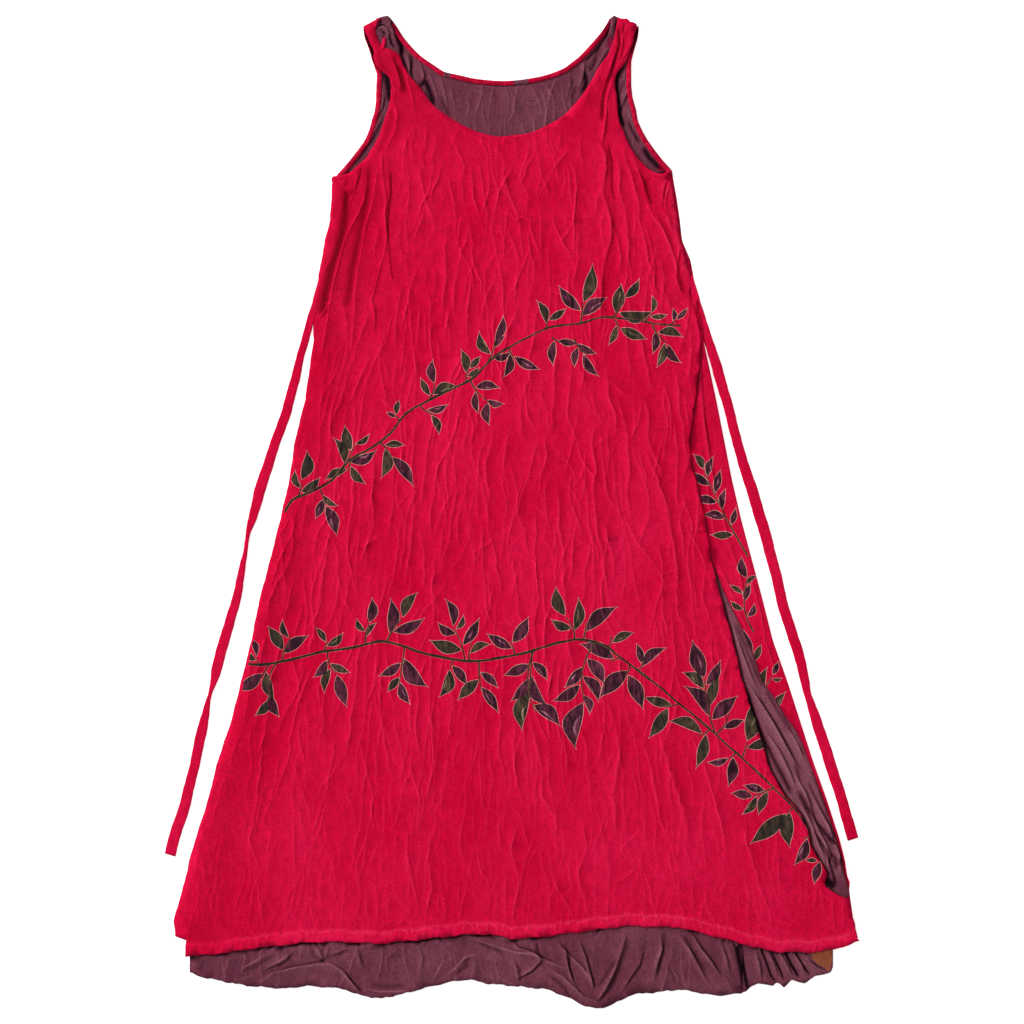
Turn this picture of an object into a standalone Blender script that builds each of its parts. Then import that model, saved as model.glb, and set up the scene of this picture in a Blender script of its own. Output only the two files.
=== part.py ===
"""Two-layer sleeveless maxi dress laid flat on its back, front up, neck toward +Y.

Every panel is one closed sheet of cloth. Its outline comes from the section tables below, its
height from the functions that stack the layers and raise the folds. Tables are in millimetres:
"level" is the distance down from the top of the straps, x is across the dress.
"""

import math

import bpy
import numpy as np
from mathutils.geometry import delaunay_2d_cdt

for old in list(bpy.data.objects):
    bpy.data.objects.remove(old, do_unlink=True)

MM = 0.001
TOP_Y = 694.0
CLOTH = 1.2
LAYER = 1.5
FOLD_RADIUS = 2.25

# Back panel, widest cloth edge seen from the front, one row per section.
BACK_SIDES = {
    "level": (4, 14, 31, 48, 64, 81, 98, 115, 132, 146, 160, 174, 188, 202, 216, 230, 258, 286, 314,
              342, 370, 398, 426, 454, 482, 538, 594, 650, 706, 762, 818, 874, 930, 986, 1042, 1098,
              1154, 1182, 1210, 1238, 1266, 1300),
    "left": (-209, -209, -206, -200, -195, -189, -190, -190, -192, -196, -200, -206, -216, -227, -239,
             -252, -253, -255, -262, -266, -268, -275, -276, -277, -282, -290, -304, -312, -325, -339,
             -354, -365, -379, -393, -412, -426, -444, -452, -458, -466, -474, -470),
    "right": (178, 178, 176, 171, 167, 167, 167, 169, 174, 176, 182, 190, 200, 211, 224, 226, 231, 235,
              238, 244, 250, 257, 262, 266, 274, 286, 297, 308, 321, 336, 351, 365, 385, 403, 421,
              441, 459, 466, 470, 474, 478, 487),
}

# Front panel: shoulder and armhole edges, then side seams, then the open slit edge on the right.
FRONT_SIDES = {
    "level": (15, 24, 38, 50, 62, 72, 79, 87, 97, 109, 125, 148, 165, 182, 199, 216, 230, 258, 286,
              314, 342, 370, 398, 426, 482, 538, 594, 622, 650, 706, 762, 818, 874, 930, 974, 1014,
              1056, 1091, 1114, 1133, 1158, 1179, 1198, 1217, 1228, 1236, 1245, 1266, 1300),
    "left": (-208, -204, -199, -193, -193, -189, -180, -171, -169, -169, -172, -179, -185, -193, -204,
             -223, -249, -251, -253, -259, -263, -265, -272, -273, -279, -287, -301, -304, -309, -322,
             -336, -351, -362, -375, -386, -396, -410, -421, -427, -432, -437, -441, -444, -447, -449,
             -450, -451, -452, -456),
    "right": (175, 172, 169, 165, 161, 154, 147, 144, 144, 146, 147, 150, 157, 165, 175, 192, 222, 227,
              231, 234, 240, 246, 253, 256, 262, 257, 249, 250, 258, 271, 279, 293, 309, 322, 336,
              349, 361, 382, 402, 412, 417, 428, 442, 450, 457, 470, 474, 478, 486),
}

# Neck edges, from the left strap round to the right strap.
FRONT_NECK = {
    "x": (-192, -190, -186, -180, -168, -158, -154, -149, -143, -132, -122, -112, -95, -73, -50, -28,
          -17, 6, 28, 50, 73, 95, 103, 113, 120, 133, 138, 143, 147),
    "level": (13, 24, 36, 44, 48, 55, 65, 75, 85, 97, 110, 124, 137, 151, 162, 168, 169, 167, 163, 153,
              139, 115, 104, 88, 74, 56, 46, 30, 8),
}
BACK_NECK = {
    "x": (-170, -162, -151, -140, -129, -118, -106, -95, -73, -50, -17, 6, 28, 50, 73, 95, 118, 129, 137),
    "level": (3, 14, 31, 44, 55, 63, 71, 78, 83, 88, 91, 90, 87, 82, 73, 56, 31, 17, 3),
}

# Hems, one row per wave.
OUTER_HEM = {
    "x": (-458, -420, -386, -353, -286, -235, -185, -151, -118, -67, -34, 0, 34, 67, 118, 160, 235,
          269, 302, 336, 370, 420, 454, 486),
    "level": (1315, 1313, 1308, 1303, 1296, 1295, 1298, 1294, 1291, 1285, 1284, 1291, 1289, 1285, 1278,
              1273, 1275, 1284, 1292, 1302, 1309, 1310, 1305, 1294),
}
INNER_HEM = {
    "x": (-451, -437, -403, -370, -319, -286, -235, -185, -151, -118, -84, -60, -34, 0, 50, 84, 101,
          118, 134, 151, 168, 202, 235, 286, 326),
    "level": (1338, 1344, 1351, 1357, 1361, 1357, 1362, 1375, 1368, 1359, 1351, 1348, 1354, 1357, 1362,
              1376, 1385, 1389, 1386, 1378, 1369, 1366, 1362, 1371, 1367),
}
PLEATED_HEM = {
    "x": (316, 336, 353, 370, 403, 420, 437, 449),
    "level": (1366, 1360, 1353, 1350, 1351, 1347, 1340, 1330),
}

# How far the back panel's wrapped strip reaches in from the right side, along the open slit.
WRAP = {
    "level": (762, 804, 862, 895, 930, 953, 979, 1000, 1021, 1084, 1154, 1190, 1224),
    "reach": (56, 52, 38, 34, 36, 26, 19, 10, 7, 5, 4, 2, 0),
}

# Raised folds of the outer front, one row per fold: path through three stations, height, half width.
FRONT_FOLDS = (
    # x1, level1, x2, level2, x3, level3, height, half_width
    (-182, 196, -176, 300, -193, 420, 4.5, 9),
    (-219, 243, -233, 330, -258, 430, 4.0, 8),
    (-196, 245, -208, 330, -222, 438, 3.5, 8),
    (-204, 505, -222, 600, -232, 690, 3.0, 8),
    (-160, 300, -150, 400, -168, 520, 2.6, 8),
    (-105, 190, -112, 320, -104, 450, 2.4, 8),
    (-52, 230, -44, 360, -58, 480, 2.2, 8),
    (6, 215, 14, 330, 0, 470, 2.4, 8),
    (62, 215, 58, 330, 70, 420, 2.4, 8),
    (122, 196, 134, 300, 123, 425, 4.2, 9),
    (148, 200, 158, 290, 160, 362, 3.6, 8),
    (184, 252, 198, 330, 203, 398, 3.2, 8),
    (129, 476, 155, 590, 163, 705, 3.6, 9),
    (184, 530, 208, 650, 232, 800, 3.6, 9),
    (116, 640, 112, 730, 134, 820, 3.0, 8),
    (62, 650, 66, 720, 72, 800, 2.6, 8),
    (8, 560, -6, 680, 6, 800, 2.4, 8),
    (-70, 560, -80, 680, -72, 790, 2.6, 8),
    (-140, 640, -152, 760, -150, 880, 2.8, 8),
    (-250, 700, -268, 820, -290, 940, 3.0, 8),
    (-205, 830, -220, 960, -238, 1090, 2.6, 8),
    (-110, 880, -118, 1000, -110, 1130, 2.4, 8),
    (-20, 860, -14, 1000, -26, 1120, 2.6, 8),
    (70, 880, 82, 1000, 84, 1130, 2.6, 8),
    (160, 860, 176, 980, 196, 1100, 2.8, 8),
    (250, 880, 276, 990, 310, 1090, 3.0, 8),
    (-330, 1000, -346, 1120, -366, 1240, 2.8, 8),
    (-250, 1120, -256, 1200, -270, 1275, 2.6, 8),
    (-140, 1150, -146, 1210, -140, 1275, 2.4, 8),
    (0, 1140, 8, 1200, -4, 1265, 2.6, 8),
    (104, 1140, 98, 1200, 112, 1258, 2.6, 8),
    (214, 1120, 236, 1190, 248, 1258, 2.8, 8),
    (330, 1120, 350, 1190, 358, 1270, 2.8, 8),
)

# Raised folds of the two straps of the outer front.
STRAP_FOLDS = (
    (-186, 52, -158, 86, -150, 130, 3.0, 7),
    (-176, 84, -158, 112, -166, 160, 2.2, 6),
    (160, 30, 140, 76, 122, 132, 3.2, 7),
    (138, 92, 130, 130, 132, 172, 2.6, 6),
)

# Raised folds of the plum cloth in the slit and below the outer hem.
SLIT_FOLDS = (
    (309, 842, 340, 900, 367, 968, 3.0, 7),
    (334, 934, 368, 1000, 404, 1060, 4.0, 8),
    (352, 990, 382, 1050, 412, 1100, 3.6, 7),
    (412, 1092, 425, 1130, 440, 1178, 3.0, 6),
    (430, 1106, 446, 1150, 456, 1200, 2.6, 6),
)
HEM_FOLDS = (
    (-346, 1356, -270, 1328, -206, 1366, 5.0, 10),
    (-120, 1352, -100, 1322, -90, 1300, 3.4, 8),
    (-30, 1300, -20, 1326, -22, 1348, 3.0, 8),
    (46, 1298, 60, 1325, 84, 1362, 4.0, 9),
    (150, 1290, 140, 1330, 128, 1376, 4.0, 9),
    (186, 1284, 182, 1318, 178, 1360, 3.6, 8),
    (236, 1288, 262, 1330, 284, 1364, 3.6, 8),
)
PLEATS = (
    (334, 1316, 338, 1336, 342, 1354, 5.0, 6),
    (352, 1318, 358, 1334, 364, 1348, 5.0, 6),
    (371, 1320, 377, 1334, 382, 1347, 5.0, 6),
    (391, 1320, 398, 1334, 404, 1347, 5.0, 6),
    (410, 1320, 418, 1332, 424, 1341, 4.5, 6),
)
WRAP_FOLDS = (
    (266, 500, 280, 580, 296, 680, 2.4, 6),
    (300, 700, 318, 770, 336, 830, 2.2, 6),
)

# Ties, one row per stretch: level, centre across, width seen, height off the floor.
LEFT_TIE = (
    # level, centre, width
    (376, -272.5, 5), (404, -279, 5), (432, -281.5, 7), (468, -291, 9), (496, -300, 13), (552, -315, 14),
    (608, -335, 14), (664, -353, 16), (706, -364, 12), (726, -370, 6), (748, -373, 6), (776, -378, 10),
    (818, -386, 13), (874, -403, 15), (916, -414, 15), (937, -419, 8), (950, -423, 5), (972, -428, 10),
    (1000, -434, 15), (1056, -446, 14), (1112, -460, 16), (1150, -473, 16), (1174, -479, 16),
)
RIGHT_TIE = (
    (326, 246, 5), (356, 252, 5), (398, 263, 5), (432, 270.5, 8), (466, 279, 11), (496, 288, 15),
    (552, 304, 14), (608, 318, 14), (664, 336, 16), (720, 353, 16), (776, 368, 15), (832, 381, 15),
    (888, 400, 15), (930, 410, 13), (951, 414, 10), (986, 426, 15), (1042, 444, 16), (1098, 462, 15),
    (1130, 471, 16), (1152, 477, 16),
)
TIE_WIDTH = 16.0
TIE_THICK = 2.4


def across(table, key, column, value):
    """The column's value where the table's key column has this value, straight between rows."""
    return float(np.interp(value, table[key], table[column]))


def smooth(value):
    value = min(max(value, 0.0), 1.0)
    return value * value * (3.0 - 2.0 * value)


def ramp(value, start, end):
    return smooth((value - start) / (end - start))


# Outlines. Each runs anticlockwise seen from above, in (x, level) points.


def stations(low, high, step):
    count = max(1, round((high - low) / step))
    return [low + (high - low) * i / count for i in range(count + 1)]


def spaced(points, step):
    """The same path with points every step or less, and no two closer than a third of it."""
    out = [points[0]]
    for a, b in zip(points, points[1:]):
        length = math.dist(a, b)
        count = max(1, math.ceil(length / step))
        for i in range(1, count + 1):
            out.append((a[0] + (b[0] - a[0]) * i / count, a[1] + (b[1] - a[1]) * i / count))
    kept = [out[0]]
    for point in out[1:-1]:
        if math.dist(point, kept[-1]) >= step / 3 and math.dist(point, out[-1]) >= step / 3:
            kept.append(point)
    kept.append(out[-1])
    return kept


def outline(left_edge, right_edge, neck, hem, step):
    """Left strap down the left side, along the hem, up the right side, back round the neck."""
    loop = []
    for part in (left_edge, hem, right_edge[::-1], neck[::-1]):
        loop += spaced(part, step)
    cleaned = [loop[0]]
    for point in loop[1:]:
        if math.dist(point, cleaned[-1]) > 1.5:
            cleaned.append(point)
    if math.dist(cleaned[0], cleaned[-1]) < 1.5:
        cleaned.pop()
    return cleaned


def front_left(level):
    return across(FRONT_SIDES, "level", "left", level)


def front_right(level):
    return across(FRONT_SIDES, "level", "right", level)


def back_left(level):
    return across(BACK_SIDES, "level", "left", level)


def back_right(level):
    return across(BACK_SIDES, "level", "right", level)


def outer_hem(x):
    return across(OUTER_HEM, "x", "level", x)


def inner_hem(x):
    return across(INNER_HEM, "x", "level", x)


def front_neck(x):
    return across(FRONT_NECK, "x", "level", x)


def back_neck(x):
    return across(BACK_NECK, "x", "level", x)


# The back panel's wrap: blend is how far it is folded, bend_start where the fold begins.


def wrap_blend(level):
    return ramp(level, 384, 412) * (1.0 - ramp(level, 1200, 1226))


def bend_start(level):
    blend = wrap_blend(level)
    return back_right(level) - FOLD_RADIUS * blend + (1.0 - blend)


def wrap_reach(level):
    """How far the wrapped strip comes in: up to the sewn seam, then the open slit's own edge."""
    if level < 762:
        return max(back_right(level) - front_right(level) - 0.8, 0.0)
    return across(WRAP, "level", "reach", level)


def strip_edge(level):
    return back_right(level) - wrap_reach(level)


def wrapped_edge(level):
    """Where the back panel's right edge lies in the flat pattern."""
    blend = wrap_blend(level)
    reach = wrap_reach(level)
    if reach < FOLD_RADIUS:
        turned = FOLD_RADIUS * (math.pi - math.asin(1.0 - reach / FOLD_RADIUS))
    else:
        turned = FOLD_RADIUS * (math.pi - 1.0) + reach
    return blend * (bend_start(level) + turned) + (1.0 - blend) * back_right(level)


# Heights of the middle of each sheet above the floor.


def fold_height(folds, x, level):
    """The tallest fold of the table here: a soft ridge along a path through three stations."""
    best = 0.0
    for x1, y1, x2, y2, x3, y3, height, half in folds:
        for ax, ay, bx, by, start in ((x1, y1, x2, y2, 0.0), (x2, y2, x3, y3, 0.5)):
            dx, dy = bx - ax, by - ay
            along = ((x - ax) * dx + (level - ay) * dy) / (dx * dx + dy * dy)
            along = min(max(along, 0.0), 1.0)
            away = math.hypot(x - ax - along * dx, level - ay - along * dy)
            if away < half:
                rise = math.sin(math.pi * min(max(start + along / 2, 0.04), 0.96)) ** 0.5
                best = max(best, height * rise * smooth(1.0 - away / half))
    return best


def top_lift(level):
    """The straps lie over the back panel's bindings, so the front layers rise there."""
    return LAYER * min(max((262.0 - level) / 44.0, 0.0), 1.0)


def inner_right(level):
    """The inner front's right edge, under the outer front."""
    return min(front_right(level) - 12.0, 322.0)


def inner_back_height(x, level):
    height = CLOTH / 2 + LAYER
    if level > 440:
        height += LAYER * ramp(x - inner_right(level), 3, 10) * ramp(level, 440, 700)
    if level > 760:
        shown = ramp(x, front_right(level) + 1.5, front_right(level) + 7)
        shown *= 1.0 - ramp(x, strip_edge(level) - 6, strip_edge(level) - 1.5)
        height += shown * fold_height(SLIT_FOLDS, x, level)
        height += ramp(level, outer_hem(x) + 2, outer_hem(x) + 14) * fold_height(PLEATS, x, level)
    return height


def inner_front_height(x, level):
    height = CLOTH / 2 + 2 * LAYER + top_lift(level)
    shown = ramp(level, outer_hem(x) + 2, outer_hem(x) + 14)
    return height + shown * fold_height(HEM_FOLDS, x, level)


def outer_front_height(x, level):
    flat = CLOTH / 2 + 3 * LAYER + top_lift(level)
    left = x - front_left(level)
    right = front_right(level) - x
    below = outer_hem(x) - level
    loft = 2.6 * ramp(min(left, right), 6, 90) * ramp(level, 230, 420) * ramp(below, 4, 90)
    height = flat + loft
    raised = fold_height(FRONT_FOLDS, x, level)
    height += raised * ramp(min(left, right), 4, 16)
    height += fold_height(STRAP_FOLDS, x, level)
    height += 0.8 * (1.0 - ramp(below, 18, 20))
    # The side seams come down onto the back panel.
    seam = 2 * LAYER * ramp(level, 262, 300)
    height -= seam * (1.0 - ramp(left, 0, 9)) * (1.0 - ramp(level, 1240, 1270))
    height -= seam * (1.0 - ramp(right, 0, 9)) * (1.0 - ramp(level, 398, 440))
    return height


def binding_height(x, level):
    return CLOTH / 2 + 2 * LAYER


def flat_place(height):
    def place(x, level):
        return (x, TOP_Y - level, height(x, level))

    return place


def wrapped_place(x, level):
    """The back panel: flat on the floor, round the right side, then back over the front."""
    start = bend_start(level)
    past = x - start
    middle = CLOTH / 2
    if past <= 0:
        return (x, TOP_Y - level, middle)
    if past < math.pi * FOLD_RADIUS:
        turn = past / FOLD_RADIUS
        return (
            start + FOLD_RADIUS * math.sin(turn),
            TOP_Y - level,
            middle + FOLD_RADIUS * (1.0 - math.cos(turn)),
        )
    back = past - math.pi * FOLD_RADIUS
    raised = fold_height(WRAP_FOLDS, start - back, level) * ramp(back, 2, 8)
    return (start - back, TOP_Y - level, middle + 2 * FOLD_RADIUS + raised)


# Meshing: triangles between the outline, the folds' crests and feet, and a grid of inner points.


def fold_lines(folds, step):
    """Crest and feet of each fold as (x, level) paths."""
    lines = []
    for x1, y1, x2, y2, x3, y3, _height, half in folds:
        crest = spaced([(x1, y1), (x2, y2), (x3, y3)], step)
        for side in (-1, 0, 1):
            line = []
            for i, (x, y) in enumerate(crest):
                ax, ay = crest[max(i - 1, 0)]
                bx, by = crest[min(i + 1, len(crest) - 1)]
                length = math.hypot(bx - ax, by - ay)
                offset = side * half * 0.98
                line.append((x + offset * (by - ay) / length, y - offset * (bx - ax) / length))
            lines.append(line)
    return lines


def distance_to_path(points, path, closed):
    """Shortest distance from each point to the path."""
    best = np.full(len(points), 1e9)
    ends = path[1:] + path[:1] if closed else path[1:]
    for a, b in zip(path, ends):
        a = np.array(a)
        d = np.array(b) - a
        t = np.clip(((points - a) @ d) / max(float(d @ d), 1e-9), 0.0, 1.0)
        gap = np.hypot(*(points - a - t[:, None] * d).T)
        best = np.minimum(best, gap)
    return best


def inside(points, loop):
    """Whether each point lies in the loop, by counting the edges to its right."""
    count = np.zeros(len(points), dtype=int)
    for (ax, ay), (bx, by) in zip(loop, loop[1:] + loop[:1]):
        crosses = (ay > points[:, 1]) != (by > points[:, 1])
        if ay == by:
            continue
        at = ax + (points[:, 1] - ay) * (bx - ax) / (by - ay)
        count += crosses & (at > points[:, 0])
    return count % 2 == 1


def inner_points(loop, lines, step_x, step_y):
    """Staggered grid points that keep clear of the outline and of the fold lines."""
    xs = [p[0] for p in loop]
    ys = [p[1] for p in loop]
    rows = []
    for row, y in enumerate(stations(min(ys), max(ys), step_y)):
        shift = step_x / 2 if row % 2 else 0.0
        for x in stations(min(xs), max(xs), step_x):
            rows.append((x + shift, y))
    points = np.array(rows)
    keep = inside(points, loop)
    keep &= distance_to_path(points, loop, True) > 0.35 * min(step_x, step_y)
    for line in lines:
        keep &= distance_to_path(points, line, False) > 0.3 * min(step_x, step_y)
    return [tuple(p) for p in points[keep]]


def clear_runs(loop, lines):
    """The stretches of each line that lie inside the outline and clear of it."""
    runs = []
    for line in lines:
        points = np.array(line)
        good = inside(points, loop) & (distance_to_path(points, loop, True) > 1.2)
        run = []
        for point, keep in zip(line, good):
            if keep:
                run.append(point)
            else:
                runs.append(run)
                run = []
        runs.append(run)
    return [run for run in runs if len(run) > 1]


def triangulate(loop, lines, step_x, step_y):
    clear = clear_runs(loop, lines)
    points = list(loop)
    edges = []
    for line in clear:
        first = len(points)
        points += line
        edges += [(first + i, first + i + 1) for i in range(len(line) - 1)]
    points += inner_points(loop, clear, step_x, step_y)
    # Level grows downward, so the loop is flipped to stay anticlockwise from above.
    flipped = [(x, -level) for x, level in points]
    found = delaunay_2d_cdt(flipped, edges, [list(range(len(loop)))], 1, 1e-4)
    return [(p[0], -p[1]) for p in found[0]], [list(f) for f in found[2]]


def surface_normal(place, x, level):
    h = 0.4
    du = np.subtract(place(x + h, level), place(x - h, level))
    dv = np.subtract(place(x, level - h), place(x, level + h))
    normal = np.cross(du, dv)
    return normal / np.linalg.norm(normal)


def make_mesh(name, points, faces):
    mesh = bpy.data.meshes.new(name)
    mesh.from_pydata([tuple(MM * c for c in p) for p in points], [], faces)
    mesh.update()
    made = bpy.data.objects.new(name, mesh)
    bpy.context.scene.collection.objects.link(made)
    return made


def sheet_solid(name, loop, lines, place, step_x, step_y):
    """A closed wall of cloth: the triangulated pattern, placed, then offset both ways."""
    flat, faces = triangulate(loop, lines, step_x, step_y)
    middle = np.array([place(x, level) for x, level in flat])
    normal = np.array([surface_normal(place, x, level) for x, level in flat])
    upper = middle + normal * CLOTH / 2
    lower = middle - normal * CLOTH / 2
    count = len(flat)
    solid = []
    edge_uses = {}
    for face in faces:
        (ax, ay), (bx, by), (cx, cy) = (flat[i] for i in face)
        if (bx - ax) * (cy - ay) - (by - ay) * (cx - ax) > 0:
            face = face[::-1]
        solid.append(face)
        solid.append([i + count for i in reversed(face)])
        for i in range(3):
            a, b = face[i], face[(i + 1) % 3]
            edge_uses[(a, b)] = True
    for a, b in edge_uses:
        if (b, a) not in edge_uses:
            solid.append([b, a, a + count])
            solid.append([b, a + count, b + count])
    return make_mesh(name, list(upper) + list(lower), solid)


# The panels.


def side_path(function, low, high, step, hem):
    path = [(function(level), level) for level in stations(low, high, step)]
    x = path[-1][0]
    path.append((x, hem(x)))
    return path


def lift_lines():
    """Where the front layers start and end their rise over the bindings."""
    return [[(x, level) for x in stations(-250, 240, 22)] for level in (218, 262)]


def build_outer_back():
    left = side_path(back_left, 4, 1262, 17, lambda x: 1288)
    right = [(wrapped_edge(level), level) for level in stations(4, 1290, 14)]
    hem = [(left[-1][0], 1288)]
    hem += [(x, outer_hem(x) - 14) for x in stations(-440, 470, 38)]
    hem.append((right[-1][0], 1290))
    neck = [(x, level) for x, level in zip(BACK_NECK["x"], BACK_NECK["level"])]
    neck = [(back_left(4), 4)] + neck + [(back_right(4), 4)]
    loop = outline(left, right, neck, hem, 24)
    bend = []
    for turn in (0.0, 0.25, 0.5, 0.75, 1.0):
        line = []
        for level in stations(400, 1212, 28):
            line.append((bend_start(level) + turn * math.pi * FOLD_RADIUS, level))
        bend.append(line)
    bend = [[p for p in line if p[0] < wrapped_edge(p[1]) - 1.2] for line in bend]
    bend = [line for line in bend if len(line) > 2]
    sheet_solid("outer_back", loop, bend, wrapped_place, 48, 48)


def build_inner_back():
    def left_edge(level):
        if level < 216:
            return back_left(level) + 3.0
        return front_left(level) + 12.0 - 7.0 * ramp(level, 1240, 1280)

    def right_edge(level):
        if level < 216:
            return back_right(level) - 3.0
        seam = front_right(level) - 3.0 - 10.0 * ramp(level, 216, 262)
        folded = bend_start(level) - 1.5
        share = ramp(level, 444, 500)
        return min(seam * (1.0 - share) + folded * share, 449.0)

    left = side_path(left_edge, 6, 1300, 17, inner_hem)
    right = [(right_edge(level), level) for level in stations(6, 1326, 17)]
    hem = [(x, inner_hem(x) - 3) for x in stations(left[-1][0], 310, 38)]
    hem += [(x, across(PLEATED_HEM, "x", "level", x)) for x in stations(322, 449, 9)]
    left[-1] = hem[0]
    right.append(hem[-1])
    neck = [(x, level + 3) for x, level in zip(BACK_NECK["x"], BACK_NECK["level"])]
    neck = [(left_edge(6), 6)] + neck + [(right_edge(6), 6)]
    loop = outline(left, right, neck, hem, 24)
    lines = fold_lines(SLIT_FOLDS + PLEATS, 16)
    for offset in (3, 10):
        lines.append([(inner_right(level) + offset, level) for level in stations(446, 1340, 24)])
    for offset in (1.5, 7):
        lines.append([(front_right(level) + offset, level) for level in stations(790, 1216, 12)])
    for offset in (1.5, 6):
        lines.append([(strip_edge(level) - offset, level) for level in stations(790, 1216, 12)])
    for offset in (2, 14):
        lines.append([(x, outer_hem(x) + offset) for x in stations(326, 446, 12)])
    sheet_solid("inner_back", loop, lines, flat_place(inner_back_height), 48, 48)


def build_inner_front():
    def left_edge(level):
        if level < 40:
            return -192.0 + 2.0 * ramp(level, 20, 40)
        edge = front_left(level) + 4.0 + 8.0 * ramp(level, 216, 262)
        return edge - 7.0 * ramp(level, 1240, 1280)

    def right_edge(level):
        if level < 216:
            return front_right(level) - 4.0
        return inner_right(level)

    left = side_path(left_edge, 8, 1300, 17, inner_hem)
    right = side_path(right_edge, 20, 1300, 17, inner_hem)
    hem = [(x, inner_hem(x)) for x in stations(left[-1][0], right[-1][0], 17)]
    neck = [(-190, 4), (-170, 3), (-169, 12), (-165, 22), (-164, 31), (-158, 42), (-157, 56)]
    for x, level in zip(FRONT_NECK["x"], FRONT_NECK["level"]):
        if -152 < x < 140:
            neck.append((x - 3.0 * (1 if x < 0 else -1), level + 3.5))
    neck.append((right_edge(20), 20))
    left[0] = neck[0]
    loop = outline(left, right, neck, hem, 24)
    lines = fold_lines(HEM_FOLDS, 18) + lift_lines()
    lines += [[(x, outer_hem(x) + offset) for x in stations(-448, 320, 24)] for offset in (2, 14)]
    sheet_solid("inner_front", loop, lines, flat_place(inner_front_height), 44, 44)


def build_outer_front():
    left = [(front_left(level), level) for level in stations(15, 1296, 14)]
    right = [(front_right(level), level) for level in stations(13, 1290, 10)]
    hem = [(x, outer_hem(x)) for x in stations(-457, 486, 17)]
    neck = [(x, level) for x, level in zip(FRONT_NECK["x"], FRONT_NECK["level"])]
    neck[-1] = (149, 3)
    neck.append((164, 4))
    loop = outline(left, right, neck, hem, 18)
    band = [[(x, outer_hem(x) - inset) for x in stations(-440, 466, 20)] for inset in (17.5, 20.5)]
    lines = fold_lines(FRONT_FOLDS + STRAP_FOLDS, 30) + band + lift_lines()
    lines.append([(front_left(level) + 9.2, level) for level in stations(264, 1266, 20)])
    lines.append([(front_right(level) - 9.2, level) for level in stations(264, 440, 16)])
    sheet_solid("outer_front", loop, lines, flat_place(outer_front_height), 30, 34)


def strip_solid(name, edge, width, turn):
    """A binding that follows an edge, its other side width further in."""
    inner = []
    for i, (x, y) in enumerate(edge):
        ax, ay = edge[max(i - 1, 0)]
        bx, by = edge[min(i + 1, len(edge) - 1)]
        length = math.hypot(bx - ax, by - ay)
        inner.append((x + turn * width * (by - ay) / length, y - turn * width * (bx - ax) / length))
    loop = edge + inner[::-1]
    sheet_solid(name, loop, [], flat_place(binding_height), 400, 400)


def build_bindings():
    neck = [(x, level) for x, level in zip(BACK_NECK["x"], BACK_NECK["level"]) if -160 < x < 125]
    strip_solid("back_neck_binding", neck, 8.5, -1)
    left = [(back_left(level) + 0.2, level) for level in stations(24, 206, 13)]
    right = [(back_right(level) - 0.2, level) for level in stations(24, 206, 13)]
    strip_solid("armhole_binding_left", left, 8.5, 1)
    strip_solid("armhole_binding_right", right, 8.5, -1)


def build_tie(name, rows):
    """A folded strip of cloth on the floor; where it twists it is narrower and stands higher."""
    points = []
    faces = []
    for i, (level, centre, width) in enumerate(rows):
        before = rows[max(i - 1, 0)]
        after = rows[min(i + 1, len(rows) - 1)]
        dx, dy = after[1] - before[1], -(after[0] - before[0])
        length = math.hypot(dx, dy)
        nx, ny = -dy / length, dx / length
        tall = TIE_THICK + 0.25 * (TIE_WIDTH - width)
        y = TOP_Y - level
        for side, z in ((-1, 0.0), (1, 0.0), (1, tall), (-1, tall)):
            points.append((centre + side * nx * width / 2, y + side * ny * width / 2, z))
    for i in range(len(rows) - 1):
        a = 4 * i
        for j in range(4):
            k = (j + 1) % 4
            faces.append((a + j, a + k, a + 4 + k))
            faces.append((a + j, a + 4 + k, a + 4 + j))
    last = 4 * (len(rows) - 1)
    faces += [(0, 3, 2), (0, 2, 1), (last, last + 1, last + 2), (last, last + 2, last + 3)]
    volume = 0.0
    for a, b, c in faces:
        volume += float(np.dot(points[a], np.cross(points[b], points[c])))
    if volume < 0:
        faces = [face[::-1] for face in faces]
    make_mesh(name, points, faces)


build_outer_back()
build_inner_back()
build_inner_front()
build_outer_front()
build_bindings()
build_tie("tie_left", LEFT_TIE)
build_tie("tie_right", RIGHT_TIE)
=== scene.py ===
"""Looks of the maxi dress: crinkled red outer layer with a printed vine, plum inner layer, ties.

Lengths in the tables are millimetres. "level" is the distance down from the top of the straps and
x is across the dress; the CAD frame is in metres, with +Y towards the neck.
"""

import math
import random

import bpy
import numpy as np
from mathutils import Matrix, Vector
from mathutils.geometry import delaunay_2d_cdt


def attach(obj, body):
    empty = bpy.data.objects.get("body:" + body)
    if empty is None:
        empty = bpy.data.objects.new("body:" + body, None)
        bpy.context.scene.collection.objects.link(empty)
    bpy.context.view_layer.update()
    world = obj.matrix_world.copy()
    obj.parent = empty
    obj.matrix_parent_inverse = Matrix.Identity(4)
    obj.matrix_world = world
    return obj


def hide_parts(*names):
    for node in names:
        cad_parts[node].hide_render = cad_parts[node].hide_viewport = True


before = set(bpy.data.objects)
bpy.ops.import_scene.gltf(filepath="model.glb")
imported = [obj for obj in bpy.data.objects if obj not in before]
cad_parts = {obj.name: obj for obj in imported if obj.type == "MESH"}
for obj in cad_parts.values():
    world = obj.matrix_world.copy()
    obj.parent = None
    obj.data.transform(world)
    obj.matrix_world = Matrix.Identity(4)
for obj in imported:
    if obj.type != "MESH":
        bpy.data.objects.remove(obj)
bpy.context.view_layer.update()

MM = 0.001
# The straps' top is this far towards +Y from the frame's origin.
TOP_Y = 694.0
CLOTH = 1.2
# From the middle of one panel to the middle of the next.
LAYER = 1.5
FOLD_RADIUS = 2.25
TIE_WIDTH = 16.0

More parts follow.
